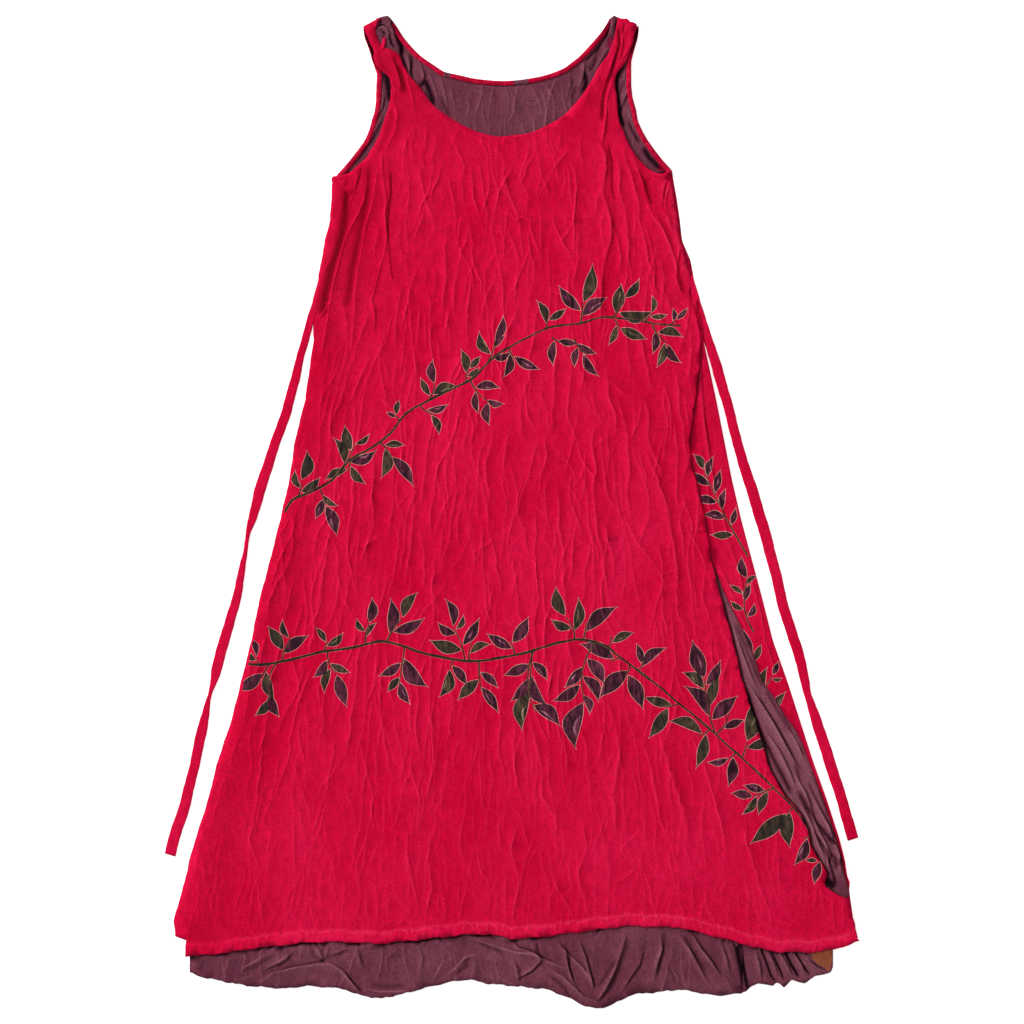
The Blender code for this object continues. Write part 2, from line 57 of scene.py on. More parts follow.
# Levels that several panels share.
ARMPIT = 216
SIDE_SEAM = 262
TIE_SEAM = 398
SLIT_TOP = 762
SLIT_FOOT = 1226
LOW_BODY = 1280

# Section tables, the same as the CAD's but for the foot of the slit, which is traced closer.

BACK_SIDES = {
    "level": (4, 14, 31, 48, 64, 81, 98, 115, 132, 146, 160, 174, 188, 202, 216, 230, 258, 286, 314,
              342, 370, 398, 409, 420, 454, 482, 538, 594, 650, 706, 762, 818, 874, 930, 986, 1042, 1098,
              1154, 1182, 1210, 1238, 1266, 1300),
    "left": (-209, -209, -206, -200, -195, -189, -190, -190, -192, -196, -200, -206, -216, -227, -239,
             -252, -253, -255, -262, -267, -272, -279, -281, -278, -278, -282, -290, -304, -312, -325, -339,
             -354, -365, -379, -393, -412, -426, -444, -452, -458, -466, -474, -470),
    "right": (178, 178, 176, 171, 167, 167, 167, 169, 174, 176, 182, 190, 200, 211, 224, 226, 231, 235,
              238, 250, 255, 257, 260, 262, 268, 274, 286, 297, 308, 321, 336, 351, 365, 385, 403, 421,
              441, 459, 466, 470, 474, 478, 487),
}
FRONT_SIDES = {
    "level": (15, 24, 38, 50, 62, 72, 79, 87, 97, 109, 125, 148, 165, 182, 199, 216, 230, 258, 286,
              314, 342, 370, 398, 409, 420, 454, 482, 538, 594, 622, 650, 706, 762, 818, 874, 930, 974, 1014,
              1056, 1091, 1114, 1133, 1158, 1179, 1198, 1217, 1228, 1236, 1245, 1266, 1300),
    "left": (-208, -204, -199, -193, -193, -189, -180, -171, -169, -169, -172, -179, -185, -193, -204,
             -223, -249, -251, -253, -259, -264, -270, -278, -280, -277, -277, -280, -287, -301, -304,
             -309, -322, -336, -351, -362, -375, -386, -396, -410, -421, -427, -432, -437, -441, -444,
             -447, -449, -450, -451, -452, -456),
    "right": (175, 172, 169, 165, 161, 154, 147, 144, 144, 146, 147, 150, 157, 165, 175, 192, 222, 227,
              231, 235, 243, 251, 251, 256, 260, 265, 264, 257, 249, 250, 258, 271, 279, 293, 309, 322, 336,
              349, 361, 382, 402, 412, 417, 428, 441, 437, 452, 471, 474, 478, 486),
}
FRONT_NECK = {
    "x": (-191, -190, -186, -180, -168, -158, -154, -149, -143, -132, -122, -112, -95, -73, -50, -28,
          -17, 6, 28, 50, 73, 95, 103, 113, 120, 133, 138, 143, 147),
    "level": (17, 24, 36, 44, 48, 55, 65, 75, 85, 97, 110, 124, 137, 151, 162, 168, 169, 167, 163, 153,
              139, 115, 104, 88, 74, 56, 46, 30, 8),
}
BACK_NECK = {
    "x": (-170, -162, -151, -140, -129, -118, -106, -95, -73, -50, -17, 6, 28, 50, 73, 95, 118, 129, 137),
    "level": (3, 14, 31, 44, 55, 63, 71, 78, 83, 88, 91, 90, 87, 82, 73, 56, 31, 17, 3),
}
OUTER_HEM = {
    "x": (-458, -420, -386, -353, -286, -235, -185, -151, -118, -67, -34, 0, 34, 67, 118, 160, 235,
          269, 302, 336, 370, 420, 454, 486),
    "level": (1315, 1313, 1308, 1303, 1296, 1295, 1298, 1294, 1291, 1285, 1284, 1291, 1289, 1285, 1278,
              1273, 1275, 1284, 1292, 1302, 1309, 1310, 1305, 1294),
}
INNER_HEM = {
    "x": (-451, -437, -403, -370, -319, -286, -235, -218, -185, -151, -118, -84, -60, -34, 0, 50, 84,
          101, 118, 134, 151, 168, 202, 235, 286, 326),
    "level": (1338, 1344, 1351, 1357, 1361, 1357, 1361, 1369, 1375, 1368, 1359, 1351, 1348, 1354, 1357,
              1362, 1376, 1385, 1389, 1386, 1378, 1369, 1366, 1362, 1371, 1367),
}
PLEATED_HEM = {
    "x": (316, 327, 334, 344, 355, 365, 370, 375, 380, 385, 391, 400, 410, 417, 424, 436, 446, 449),
    "level": (1368, 1365, 1358, 1353.5, 1355, 1357, 1352, 1354, 1360, 1355, 1348, 1351.5, 1353.5, 1348,
              1343, 1341, 1338, 1330),
}
WRAP = {
    "level": (762, 804, 862, 895, 930, 953, 979, 1000, 1021, 1084, 1154, 1190, 1224),
    "reach": (56, 52, 38, 34, 36, 26, 19, 10, 7, 5, 4, 2, 0),
}

# Creases. A row is one crease: height, soft side's width, steep side's width, then its stations
# as (x, level). The soft side is on the left going down; beyond the steep side runs a trough.
# A row with a negative height is a gap between folds, sunk and with painted shadow, soft on both sides. Small
# creases that are not in these tables are made by twigs().

FRONT_CREASES = (
    (1.6, 9, 5.7, ((-133, 206), (-128, 227), (-121, 259), (-117, 270), (-112, 281), (-107, 305))),
    (1.8, 8, 3, ((-101, 209), (-102, 225), (-112, 245), (-112, 266))),
    (1.5, 9, 5.7, ((-81, 174), (-76, 192), (-67, 211), (-71, 231), (-69, 258), (-66, 266))),
    (1.8, 8, 3, ((-48, 200), (-41, 237), (-36, 270), (-31, 283))),
    (1.3, 8, 5.7, ((-29, 178), (-17, 193), (-11, 213), (-11, 245), (-4, 256))),
    (1.6, 8, 3, ((-125, 266), (-126, 284), (-140, 321))),
    (1.5, 10, 5.7, ((-155, 375), (-158, 397), (-162, 424), (-164, 470))),
    (1.3, 8, 5.7, ((-172, 335), (-169, 367), (-162, 378))),
    (1.8, 8, 3, ((-80, 309), (-71, 333), (-62, 345), (-55, 363), (-52, 392))),
    (2.8, 15, 6.6, ((119, 176), (129, 197), (130, 214), (126, 245), (133, 273), (137, 298), (136, 316),
                    (126, 352), (123, 379), (123, 440))),
    (1.3, 8, 5.7, ((126, 242), (118, 259), (117, 280))),
    (2.0, 11, 5.7, ((144, 196), (149, 218), (150, 249), (156, 266), (158, 288), (160, 309), (162, 327),
                  (160, 366))),
    (2.2, 11, 5.7, ((154, 176), (158, 202), (165, 220), (171, 245), (176, 259), (176, 281), (185, 316),
                  (189, 343), (197, 367), (200, 396))),
    (2.0, 9, 5.7, ((162, 184), (172, 209), (183, 234), (184, 250))),
    (2.0, 11, 5.7, ((187, 256), (197, 281), (214, 305), (223, 325), (229, 347), (229, 368), (238, 392))),
    (1.7, 10, 5.7, ((217, 228), (210, 249), (213, 273), (219, 290), (226, 306))),
    (1.5, 9, 5.7, ((90, 295), (92, 316), (90, 352), (84, 382))),
    (1.8, 8, 3, ((31, 192), (19, 214), (10, 236))),
    (1.3, 8, 5.7, ((83, 179), (69, 199), (55, 220), (37, 252))),
    (1.6, 6, 3, ((-17, 273), (-4, 277), (5, 286), (14, 281), (37, 290))),
    (1.8, 8, 3, ((28, 316), (15, 352), (-1, 390))),
    (1.3, 9, 5.7, ((34, 518), (44, 540), (50, 556), (52, 590))),
    (1.3, 9, 5.7, ((46, 648), (45, 666), (53, 702))),
    (1.8, 12, 5.7, ((60, 652), (64, 676), (67, 726), (72, 756), (73, 800))),
    (2.0, 12, 5.7, ((130, 493), (133, 508), (133, 531), (143, 556), (148, 586))),
    (2.0, 13, 6.6, ((146, 533), (153, 556), (160, 588), (162, 620), (163, 641), (160, 655), (160, 678),
                    (164, 705))),
    (2.1, 12, 5.7, ((176, 441), (183, 473), (190, 505), (196, 532))),
    (2.0, 12, 5.7, ((183, 536), (190, 566), (189, 591), (200, 620), (213, 650))),
    (2.4, 14, 6.6, ((186, 612), (198, 638), (209, 668), (218, 700), (224, 735), (230, 776), (231, 826))),
    (1.6, 10, 5.7, ((203, 738), (209, 763), (211, 830))),
    (2.0, 13, 5.7, ((117, 566), (111, 601), (117, 638), (112, 655), (116, 700), (118, 721), (126, 750),
                  (132, 806))),
    (1.7, 10, 5.7, ((225, 493), (233, 525), (233, 556), (240, 581), (241, 606), (247, 626))),
    (1.8, 8, 3, ((33, 696), (34, 721), (31, 750), (36, 806))),
    (1.5, 10, 5.7, ((126, 709), (141, 756), (143, 790))),
    (1.5, 10, 5.7, ((70, 770), (74, 815), (81, 850), (78, 880), (85, 912), (88, 955))),
    (1.6, 10, 5.7, ((228, 806), (233, 842), (246, 872))),
    (1.3, 9, 5.7, ((206, 811), (211, 842), (219, 872))),
    (2.1, 16, 7.6, ((142, 980), (150, 1029), (144, 1064), (140, 1097), (144, 1146))),
    (1.8, 13, 6.6, ((179, 1010), (193, 1051), (199, 1083), (204, 1118), (216, 1156))),
    (2.4, 20, 9.5, ((203, 1000), (222, 1062), (238, 1110), (246, 1166))),
    (1.5, 10, 5.7, ((43, 1060), (41, 1091), (56, 1115), (66, 1150))),
    (1.3, 9, 5.7, ((-205, 505), (-212, 560), (-218, 620), (-226, 690))),
    (1.3, 10, 5.7, ((-136, 560), (-140, 620), (-137, 690), (-146, 750))),
    (1.7, 12, 5.7, ((-250, 690), (-262, 760), (-270, 820), (-286, 900))),
    (1.5, 10, 5.7, ((-205, 820), (-214, 890), (-222, 960), (-232, 1040))),
    (1.5, 10, 5.7, ((-112, 880), (-116, 950), (-110, 1030), (-118, 1100))),
    (1.6, 11, 5.7, ((-348, 1000), (-356, 1090), (-368, 1150), (-352, 1200))),
    (1.6, 11, 5.7, ((246, 1000), (268, 1050), (286, 1110), (300, 1170))),
    (1.5, 10, 5.7, ((318, 1120), (332, 1170), (346, 1220), (362, 1262))),
    (1.6, 10, 5.7, ((-112, 1140), (-118, 1180), (-112, 1220), (-122, 1262))),
    (1.3, 9, 5.7, ((-148, 1130), (-146, 1176), (-138, 1216), (-128, 1260))),
    (1.3, 9, 5.7, ((6, 1130), (-2, 1170), (10, 1210), (0, 1262))),
    (1.3, 9, 5.7, ((96, 1120), (104, 1160), (92, 1200), (104, 1250))),
)

UNDERARM_CREASES = (
    (-0.85, 6.5, 6.5, ((-232, 240), (-233, 262), (-234, 282), (-238, 306), (-244, 328), (-251, 348),
                       (-256, 366), (-262, 392), (-266, 420))),
    (-0.3, 1.6, 1.6, ((-231.5, 240), (-232, 256), (-232, 274))),
    (1.6, 5, 3, ((-204, 216), (-203.5, 234), (-208, 260), (-215, 276), (-222.5, 290), (-232, 308),
                 (-238.5, 328), (-244.5, 352), (-250, 374), (-253.5, 394), (-257.5, 418), (-262, 446),
                 (-268, 480))),
    (-0.75, 6.0, 6.0, ((-199, 206), (-201.5, 226), (-202, 248), (-205.5, 270), (-210.5, 292), (-215, 316),
                      (-220.5, 340), (-225, 360), (-227, 384), (-232, 410))),
    (1.5, 5, 3, ((-186, 208), (-190, 226), (-192.5, 242), (-195.5, 260), (-200, 278), (-206, 296),
                 (-208.5, 314), (-212, 334), (-214.5, 348), (-217, 364), (-220, 386), (-220, 404),
                 (-222.5, 434), (-226, 470))),
    (1.9, 5, 3, ((-181, 184), (-182.5, 214), (-180, 236), (-176, 258), (-178.5, 278), (-177, 294),
                 (-175, 309), (-177, 321), (-179.5, 337), (-184, 347), (-188.5, 366), (-193, 386),
                 (-197, 398), (-192, 416), (-192, 436))),
    (-0.35, 3.6, 3.6, ((-171, 196), (-169.5, 216), (-169, 248), (-172, 270), (-173, 288), (-173, 308))),
    (-0.8, 1.5, 1.5, ((-169.5, 216), (-169, 248), (-171.6, 270), (-173, 284), (-173, 307), (-172, 317),
                      (-170, 340), (-168.5, 360), (-164, 373))),
    (-0.7, 1.8, 1.8, ((-186, 350), (-190.5, 370), (-195.5, 392))),
    (-0.8, 1.8, 1.8, ((-190, 404), (-189.5, 424), (-191, 444))),
    (1.6, 3, 2.4, ((-268, 404), (-262, 401), (-256, 402), (-250, 404))),
    (1.4, 2.6, 2.2, ((-247, 230), (-240, 234), (-233, 231), (-229, 225))),
    (-0.8, 1.5, 1.5, ((-243, 229), (-236, 229), (-230, 224))),
    (1.3, 2.4, 2.2, ((-245, 240), (-238, 246), (-233, 254))),
    (-0.8, 1.8, 1.8, ((-229, 226), (-232, 236), (-240, 243))),
    (1.4, 2.4, 2.2, ((-246, 252), (-238, 260), (-236, 274))),
    (1.6, 3, 2.4, ((-220, 216), (-216, 228), (-221, 246), (-228, 262))),
    (-1.0, 2.0, 2.0, ((-212, 206), (-212, 222), (-219, 240), (-226, 254))),
    (-1.4, 1.3, 1.3, ((218, 220), (217, 232), (213, 250), (212, 268), (217, 284))),
    (1.7, 4, 2.4, ((221, 222), (220, 236), (215, 252), (214, 268), (221, 288), (224, 306))),
    (-0.9, 1.4, 1.4, ((203, 228), (200, 236))),
    (-0.9, 1.4, 1.4, ((195, 224), (191, 234))),
    (1.3, 3, 2.2, ((186, 214), (196, 222), (208, 224), (218, 221))),
    (-1.2, 2.4, 2.4, ((176, 216), (184, 232), (190, 250), (196, 268))),
    (1.9, 6, 3, ((197, 267), (208, 294), (220.5, 324), (228.5, 346), (231.5, 360), (235, 375), (240.5, 387),
                 (246, 396))),
    (1.6, 3, 2.4, ((238, 303), (235, 321), (232.5, 337), (230.5, 353))),
    (-0.7, 1.4, 1.4, ((239, 319), (235, 338), (234, 349))),
    (-1.3, 1.4, 1.4, ((232, 352), (232.5, 367), (237.5, 382), (243, 392))),
    (1.7, 3, 2.4, ((236, 354), (242, 366), (246.5, 377), (248.5, 391))),
    (-0.6, 1.4, 1.4, ((253.5, 366), (251, 377), (249.5, 391))),
    (1.6, 3, 2.4, ((184, 285), (192, 314), (199, 350), (199, 378), (203, 389), (215, 396))),
    (-0.5, 3.0, 3.0, ((187, 226), (191, 240), (196, 254), (200, 266))),
    (-0.5, 2.4, 2.4, ((216, 300), (222, 316), (228, 332))),
    (-1.0, 2.0, 2.0, ((134, 176), (140, 206), (140, 240), (144, 262))),
)

STRAP_CREASES = (
    (1.6, 8, 3, ((-200, 24), (-195, 40), (-187, 56), (-181, 72))),
    (2.2, 8, 5, ((-180, 47), (-173, 52), (-168, 60), (-165, 70), (-160, 82), (-157, 96), (-160, 112))),
    (-0.5, 3.2, 3.2, ((-176, 54), (-168, 60), (-162, 72), (-158, 84), (-154, 96), (-150, 112))),
    (-0.4, 3.5, 3.5, ((-190, 50), (-186, 64), (-178, 74), (-170, 82))),
    (1.8, 3, 2.4, ((-188, 76), (-180, 83), (-172, 90), (-166, 97), (-163, 104), (-166, 114), (-168, 124))),
    (-1.1, 1.3, 1.3, ((-186, 80), (-179, 86), (-172, 93), (-167, 99), (-166.5, 106))),
    (1.5, 4, 2.4, ((-156, 58), (-152, 72), (-147, 86), (-141, 100))),
    (-0.4, 3, 3, ((-158, 66), (-155, 80), (-150, 96), (-146, 112))),
    (1.7, 6, 2.5, ((-150, 84), (-143, 100), (-138, 120), (-138, 140))),
    (2.2, 8, 5, ((-168, 118), (-161, 138), (-164, 160), (-178, 190))),
    (-0.4, 4, 4, ((-172, 122), (-168, 146), (-176, 172), (-188, 196))),
    (2.0, 5, 2.8, ((151.5, 12), (152, 24), (154, 38), (152, 52), (148, 66))),
    (-1.3, 2.6, 2.6, ((150, 14), (149.5, 26), (150.5, 40), (147, 52), (143, 64), (140, 78), (137, 90))),
    (-0.9, 1.8, 1.8, ((156, 7), (156, 20), (154, 28))),
    (1.6, 3, 2.4, ((165, 12), (159, 20), (155, 30), (154, 40))),
    (2.2, 5, 3, ((146, 46), (141, 60), (136, 74), (132, 88))),
    (1.6, 3, 2.2, ((139, 74), (144, 82), (148, 92), (150, 104), (150, 120))),
    (-1.2, 2.6, 2.6, ((137, 80), (134, 92), (130, 104), (127, 118), (126, 132), (126, 150))),
    (2.4, 7, 3.4, ((141, 84), (137, 100), (132, 116), (131, 136), (128, 160), (124, 184))),
    (1.5, 4, 2.4, ((138, 112), (135, 126), (138, 144))),
    (1.7, 4, 2.4, ((170, 26), (164, 42), (157, 56), (149, 68), (143, 76))),
    (-0.7, 2.4, 2.4, ((153.5, 44), (153, 56), (148, 66))),
    (1.4, 5, 2.4, ((112, 96), (104, 112), (96, 132))),
    (1.4, 5, 2.4, ((128, 72), (118, 90), (110, 104))),
)

NECK_CREASES = (
    (-2.2, 3.2, 3.2, ((-170, 4), (-166, 14), (-162, 24), (-158, 34), (-154, 44), (-152, 54))),
    (-1.5, 2.2, 2.2, ((-157, 44), (-154, 56), (-150, 70), (-148, 80))),
    (3.0, 7, 3, ((-152, 44), (-148, 54), (-145, 66), (-145, 78), (-140, 92))),
    (-1.7, 2.0, 2.0, ((-142, 50), (-140, 64), (-141, 78), (-140, 90))),
    (3.0, 9, 3, ((-132, 62), (-128, 72), (-124, 84), (-127, 96))),
    (-2.2, 3.4, 3.4, ((-131, 101), (-127, 96), (-121, 92), (-116, 103), (-111, 117), (-108, 126))),
    (2.6, 8, 3, ((-118, 78), (-112, 92), (-106, 110), (-103, 124))),
    (-1.0, 2.2, 2.2, ((-122, 74), (-120, 82), (-124, 92))),
    (2.4, 8, 3, ((-102, 84), (-97, 98), (-93, 116), (-90, 134))),
    (-1.1, 2.6, 2.6, ((-100, 112), (-94, 128), (-86, 142))),
    (2.0, 8, 3, ((-86, 92), (-84, 110), (-79, 138))),
    (1.7, 7, 3, ((-60, 96), (-52, 104), (-36, 110), (-22, 108))),
    (1.9, 8, 3, ((-40, 112), (-42, 134), (-36, 158))),
    (1.7, 7, 3, ((-64, 108), (-60, 128), (-66, 148))),
    (1.6, 7, 3, ((-8, 98), (4, 116), (2, 136), (-8, 152))),
    (1.6, 7, 3, ((14, 116), (28, 124), (40, 118))),
    (1.9, 8, 3, ((26, 96), (36, 116), (44, 142))),
    (1.8, 8, 3, ((44, 92), (56, 110), (60, 134))),
    (2.2, 8, 3, ((78, 74), (82, 92), (74, 122))),
    (-0.9, 3, 3, ((84, 84), (86, 104), (80, 122))),
    (2.8, 8, 3.2, ((106, 52), (100, 68), (98, 84), (92, 104))),
    (-2.2, 3.2, 3.2, ((101, 76), (104, 90), (103, 98), (96, 110))),
    (3.0, 6, 3, ((122, 44), (116, 56), (110, 68), (104, 76))),
    (-1.2, 1.8, 1.8, ((124, 40), (118, 52), (112, 64), (107, 71), (110, 76), (116, 66), (120, 56))),
    (-1.6, 2.0, 2.0, ((133, 12), (132, 28), (122, 42), (110, 56), (98, 66))),
    (2.4, 6, 3, ((134, 44), (128, 54), (120, 68), (114, 80))),
    (-1.2, 2, 2, ((137, 46), (131, 60), (122, 74))),
    (-2.4, 4.2, 4.2, ((-182, 79), (-176, 84), (-174, 92), (-172, 104), (-171, 122))),
    (2.4, 5, 3, ((-184, 92), (-181, 106), (-181, 124), (-188, 142))),
    (-1.2, 1.6, 1.6, ((-178, 112), (-180, 128), (-186, 142))),
    (2.4, 5, 3, ((-178, 126), (-184, 144), (-194, 162), (-204, 178))),
    (-1.2, 1.6, 1.6, ((-180, 146), (-190, 166), (-204, 186), (-216, 202))),
    (2.2, 5, 3, ((-192, 146), (-202, 166), (-214, 188), (-226, 206))),
    (-1.0, 1.6, 1.6, ((-196, 162), (-208, 184), (-222, 206))),
    (-2.4, 3.0, 3.0, ((158, 66), (150, 76), (146, 88), (146, 104), (148, 120), (151, 140), (158, 158))),
    (2.8, 6, 3, ((160, 70), (156, 88), (153, 104))),
    (-1.3, 1.7, 1.7, ((156, 90), (152, 104), (150, 112))),
    (2.8, 6, 3, ((164, 96), (158, 112), (154, 130))),
    (-1.3, 1.7, 1.7, ((162, 106), (155, 124), (152, 136))),
    (2.6, 6, 3, ((160, 124), (166, 142), (176, 162))),
    (-1.5, 2.2, 2.2, ((162, 146), (170, 164), (180, 180))),
    (2.4, 6, 3, ((172, 140), (182, 162), (196, 184))),
    (-2.2, 3.4, 3.4, ((182, 182), (192, 198), (204, 210), (212, 216))),
)

COIL_CREASES = (
    (3.0, 4, 2.4, ((-189, 36), (-190.5, 27), (-189, 21), (-185, 17.5), (-180.5, 16.5), (-176.5, 18.5),
                   (-174, 23), (-173.5, 30), (-176, 37))),
    (-2.3, 1.5, 1.5, ((-191, 24), (-189.5, 19.5), (-186, 15.2), (-181.5, 13.2), (-177, 13.6))),
    (-2.2, 1.2, 1.2, ((-183.5, 20), (-181, 22.5), (-178.5, 25.5), (-175.5, 24.5))),
    (-2.2, 1.3, 1.3, ((-181.5, 27), (-179, 31), (-177.5, 37), (-177, 44))),
    (2.4, 3.4, 2.4, ((-172, 3), (-170.5, 12), (-168.5, 20), (-164.5, 29), (-161, 40), (-158, 50))),
    (-1.6, 1.6, 1.6, ((-172, 26), (-170, 34), (-168, 40), (-164, 46))),
    (-1.5, 1.5, 1.5, ((-183.5, 4), (-183.5, 9), (-186, 12))),
    (-1.3, 1.2, 1.2, ((146.6, 4), (146, 14), (144, 26))),
    (-1.2, 1.0, 1.0, ((134, 29), (138, 30), (142, 29))),
    (2.6, 4, 4, ((141.5, 2), (140.5, 14), (138.5, 26))),
)

SLIT_CREASES = (
    (2.8, 9, 3, ((306, 846), (320, 890), (334, 926), (346, 952))),
    (-1.0, 2.4, 2.4, ((312, 848), (328, 884), (341, 917), (352, 940))),
    (4.6, 11, 4, ((330, 936), (350, 968), (368, 1000), (388, 1034), (406, 1062))),
    (-1.2, 2.4, 2.4, ((344, 952), (366, 990), (388, 1026), (398, 1052), (404, 1074))),
    (3.6, 8, 3.5, ((350, 996), (370, 1026), (384, 1054), (400, 1088))),
    (-1.7, 3.0, 3.0, ((328, 943), (334, 962), (341, 984), (352, 1010), (366, 1040), (382, 1070),
                      (392, 1090))),
    (3.0, 7, 3, ((366, 956), (382, 988), (398, 1020), (410, 1046))),
    (-1.2, 2.2, 2.2, ((356, 944), (374, 976), (392, 1006))),
    (4.2, 7, 3, ((396, 1062), (412, 1098), (424, 1132), (436, 1164), (444, 1196))),
    (-1.7, 2.8, 2.8, ((400, 1084), (412, 1108), (428, 1132), (442, 1148), (450, 1160))),
    (3.6, 6, 3, ((418, 1088), (430, 1112), (442, 1136), (450, 1160))),
    (-1.0, 1.8, 1.8, ((414, 1070), (424, 1094), (436, 1116), (446, 1138))),
    (-1.6, 1.8, 1.8, ((420, 1138), (434, 1164), (446, 1190), (454, 1216))),
    (3.4, 5, 2.6, ((428, 1144), (442, 1172), (452, 1200))),
    (-1.5, 1.6, 1.6, ((444, 1150), (454, 1160), (460, 1176), (464, 1200))),
    (3.4, 4, 2.4, ((448, 1152), (456, 1166), (458, 1186), (460, 1206))),
    (-1.6, 1.8, 1.8, ((442, 1186), (446, 1172), (452, 1178), (454, 1194))),
    (-2.4, 5.0, 5.0, ((440, 1206), (446, 1214), (452, 1222))),
    (-1.6, 2.0, 2.0, ((456, 1190), (460, 1176), (464, 1166), (462, 1152))),
    (2.6, 5, 2.6, ((466, 1196), (468, 1212), (471, 1228))),
    (2.4, 8, 3, ((324, 872), (338, 900), (350, 926))),
    (3.0, 6, 3, ((402, 1100), (420, 1138), (432, 1170), (438, 1192))),
)

HEM_CREASES = (
    (3.0, 5, 3, ((1, 1293), (6, 1305), (23, 1310), (36, 1318), (56, 1326), (78, 1334))),
    (-0.7, 1.6, 1.6, ((4, 1293), (10, 1303), (26, 1307), (40, 1315), (58, 1323))),
    (-0.7, 1.5, 1.5, ((33, 1290), (35, 1300), (38, 1313))),
    (3.2, 5, 3, ((61, 1294), (72, 1308), (84, 1320), (97, 1332), (106, 1346), (114, 1362))),
    (-0.9, 1.8, 1.8, ((75, 1304), (78, 1320), (81, 1334), (84, 1347))),
    (-0.9, 2.0, 2.0, ((146, 1318), (136, 1334), (126, 1350), (120, 1360))),
    (5.6, 16, 3.5, ((-353, 1353), (-334, 1341), (-303, 1334), (-273, 1328), (-254, 1328), (-239, 1338),
                    (-227, 1354), (-212, 1368), (-204, 1372))),
    (-0.6, 2.2, 2.2, ((-340, 1343), (-310, 1333), (-284, 1326), (-262, 1322))),
    (-0.6, 2.4, 2.4, ((-234, 1338), (-222, 1354), (-210, 1366))),
    (-0.7, 2.0, 2.0, ((-283, 1298), (-278, 1314), (-266, 1322), (-256, 1317), (-240, 1312), (-226, 1306))),
    (-0.7, 2.3, 2.3, ((-262, 1298), (-265, 1310), (-264, 1326))),
    (3.4, 7, 3, ((-276, 1299), (-271, 1310), (-262, 1322))),
    (3.4, 7, 3, ((-256, 1299), (-260, 1312), (-262, 1320))),
    (3.0, 7, 3, ((-228, 1300), (-240, 1308), (-254, 1312))),
    (-0.7, 2.4, 2.4, ((-310, 1304), (-312, 1318), (-306, 1328))),
    (3.0, 8, 3, ((-302, 1304), (-318, 1318), (-348, 1334))),
    (2.6, 8, 3, ((-382, 1336), (-358, 1322), (-334, 1308))),
    (-0.7, 2.9, 2.9, ((-432, 1318), (-434, 1332), (-436, 1342))),
    (-0.7, 2.4, 2.4, ((-376, 1338), (-352, 1326), (-330, 1312))),
    (3.0, 8, 3, ((-218, 1306), (-214, 1322), (-210, 1336))),
    (-0.8, 1.9, 1.9, ((-214, 1304), (-210, 1320), (-204, 1336))),
    (2.4, 8, 3, ((-160, 1304), (-176, 1318), (-176, 1336))),
    (2.2, 8, 3, ((-208, 1360), (-184, 1365), (-152, 1364), (-128, 1366))),
    (-0.7, 2.4, 2.4, ((-200, 1354), (-176, 1358), (-150, 1356))),
    (2.4, 8, 3, ((-134, 1296), (-126, 1318), (-130, 1344))),
    (1.8, 8, 3, ((-112, 1352), (-104, 1336), (-96, 1322), (-100, 1308))),
    (-0.9, 1.9, 1.9, ((-80, 1343), (-70, 1334), (-62, 1330), (-65, 1323), (-56, 1316))),
    (2.8, 8, 3, ((-96, 1346), (-78, 1332), (-66, 1318), (-44, 1312))),
    (3.0, 6, 3, ((-54, 1290), (-36, 1298), (-17, 1304), (4, 1311), (28, 1314), (46, 1323))),
    (-0.8, 1.8, 1.8, ((-50, 1295), (-30, 1304), (-16, 1309), (-10, 1318))),
    (-0.6, 2.2, 2.2, ((34, 1296), (36, 1310), (44, 1322), (32, 1333), (16, 1344), (6, 1350))),
    (3.2, 6, 3, ((28, 1296), (31, 1312), (38, 1322), (26, 1334), (6, 1346))),
    (-0.8, 1.9, 1.9, ((5, 1322), (11, 1335), (12, 1351))),
    (2.6, 6, 3, ((0, 1318), (6, 1334), (8, 1352))),
    (4.0, 9, 3, ((72, 1302), (76, 1326), (82, 1348), (92, 1366))),
    (-0.8, 2.2, 2.2, ((68, 1296), (80, 1314), (80, 1334), (88, 1352))),
    (3.8, 9, 3, ((92, 1290), (100, 1314), (106, 1340), (114, 1364))),
    (-0.7, 2.2, 2.2, ((98, 1296), (105, 1316), (110, 1340), (116, 1362))),
    (4.4, 8, 3.5, ((50, 1334), (70, 1346), (84, 1360), (100, 1374), (124, 1382))),
    (-0.9, 2.2, 2.2, ((52, 1342), (68, 1354), (80, 1370), (96, 1380))),
    (4.6, 9, 3.5, ((160, 1282), (152, 1306), (142, 1332), (128, 1360), (116, 1382))),
    (-0.6, 2.9, 2.9, ((166, 1290), (158, 1312), (150, 1332), (136, 1358), (124, 1376))),
    (4.0, 9, 3, ((184, 1306), (176, 1326), (164, 1344), (152, 1366))),
    (-0.6, 2.6, 2.6, ((188, 1290), (182, 1312), (172, 1334), (160, 1352))),
    (3.4, 9, 3, ((206, 1280), (208, 1304), (200, 1328), (198, 1352))),
    (-0.9, 2.2, 2.2, ((213, 1278), (213, 1300), (206, 1322), (204, 1344))),
    (4.0, 10, 3, ((232, 1284), (250, 1314), (266, 1342), (280, 1362))),
    (-0.8, 2.2, 2.2, ((240, 1284), (257, 1314), (274, 1342))),
    (4.0, 9, 3, ((250, 1282), (262, 1306), (278, 1326), (292, 1344))),
    (-0.7, 2.3, 2.3, ((252, 1280), (266, 1303), (284, 1326), (296, 1346))),
    (3.2, 8, 3, ((290, 1294), (298, 1320), (306, 1350))),
    (3.0, 8, 3, ((222, 1330), (232, 1346), (232, 1360))),
    (-0.8, 1.9, 1.9, ((218, 1326), (226, 1344), (228, 1358))),
    (-2.4, 3.0, 3.0, ((311, 1290), (315, 1306), (318, 1322), (322, 1340), (326, 1362))),
)

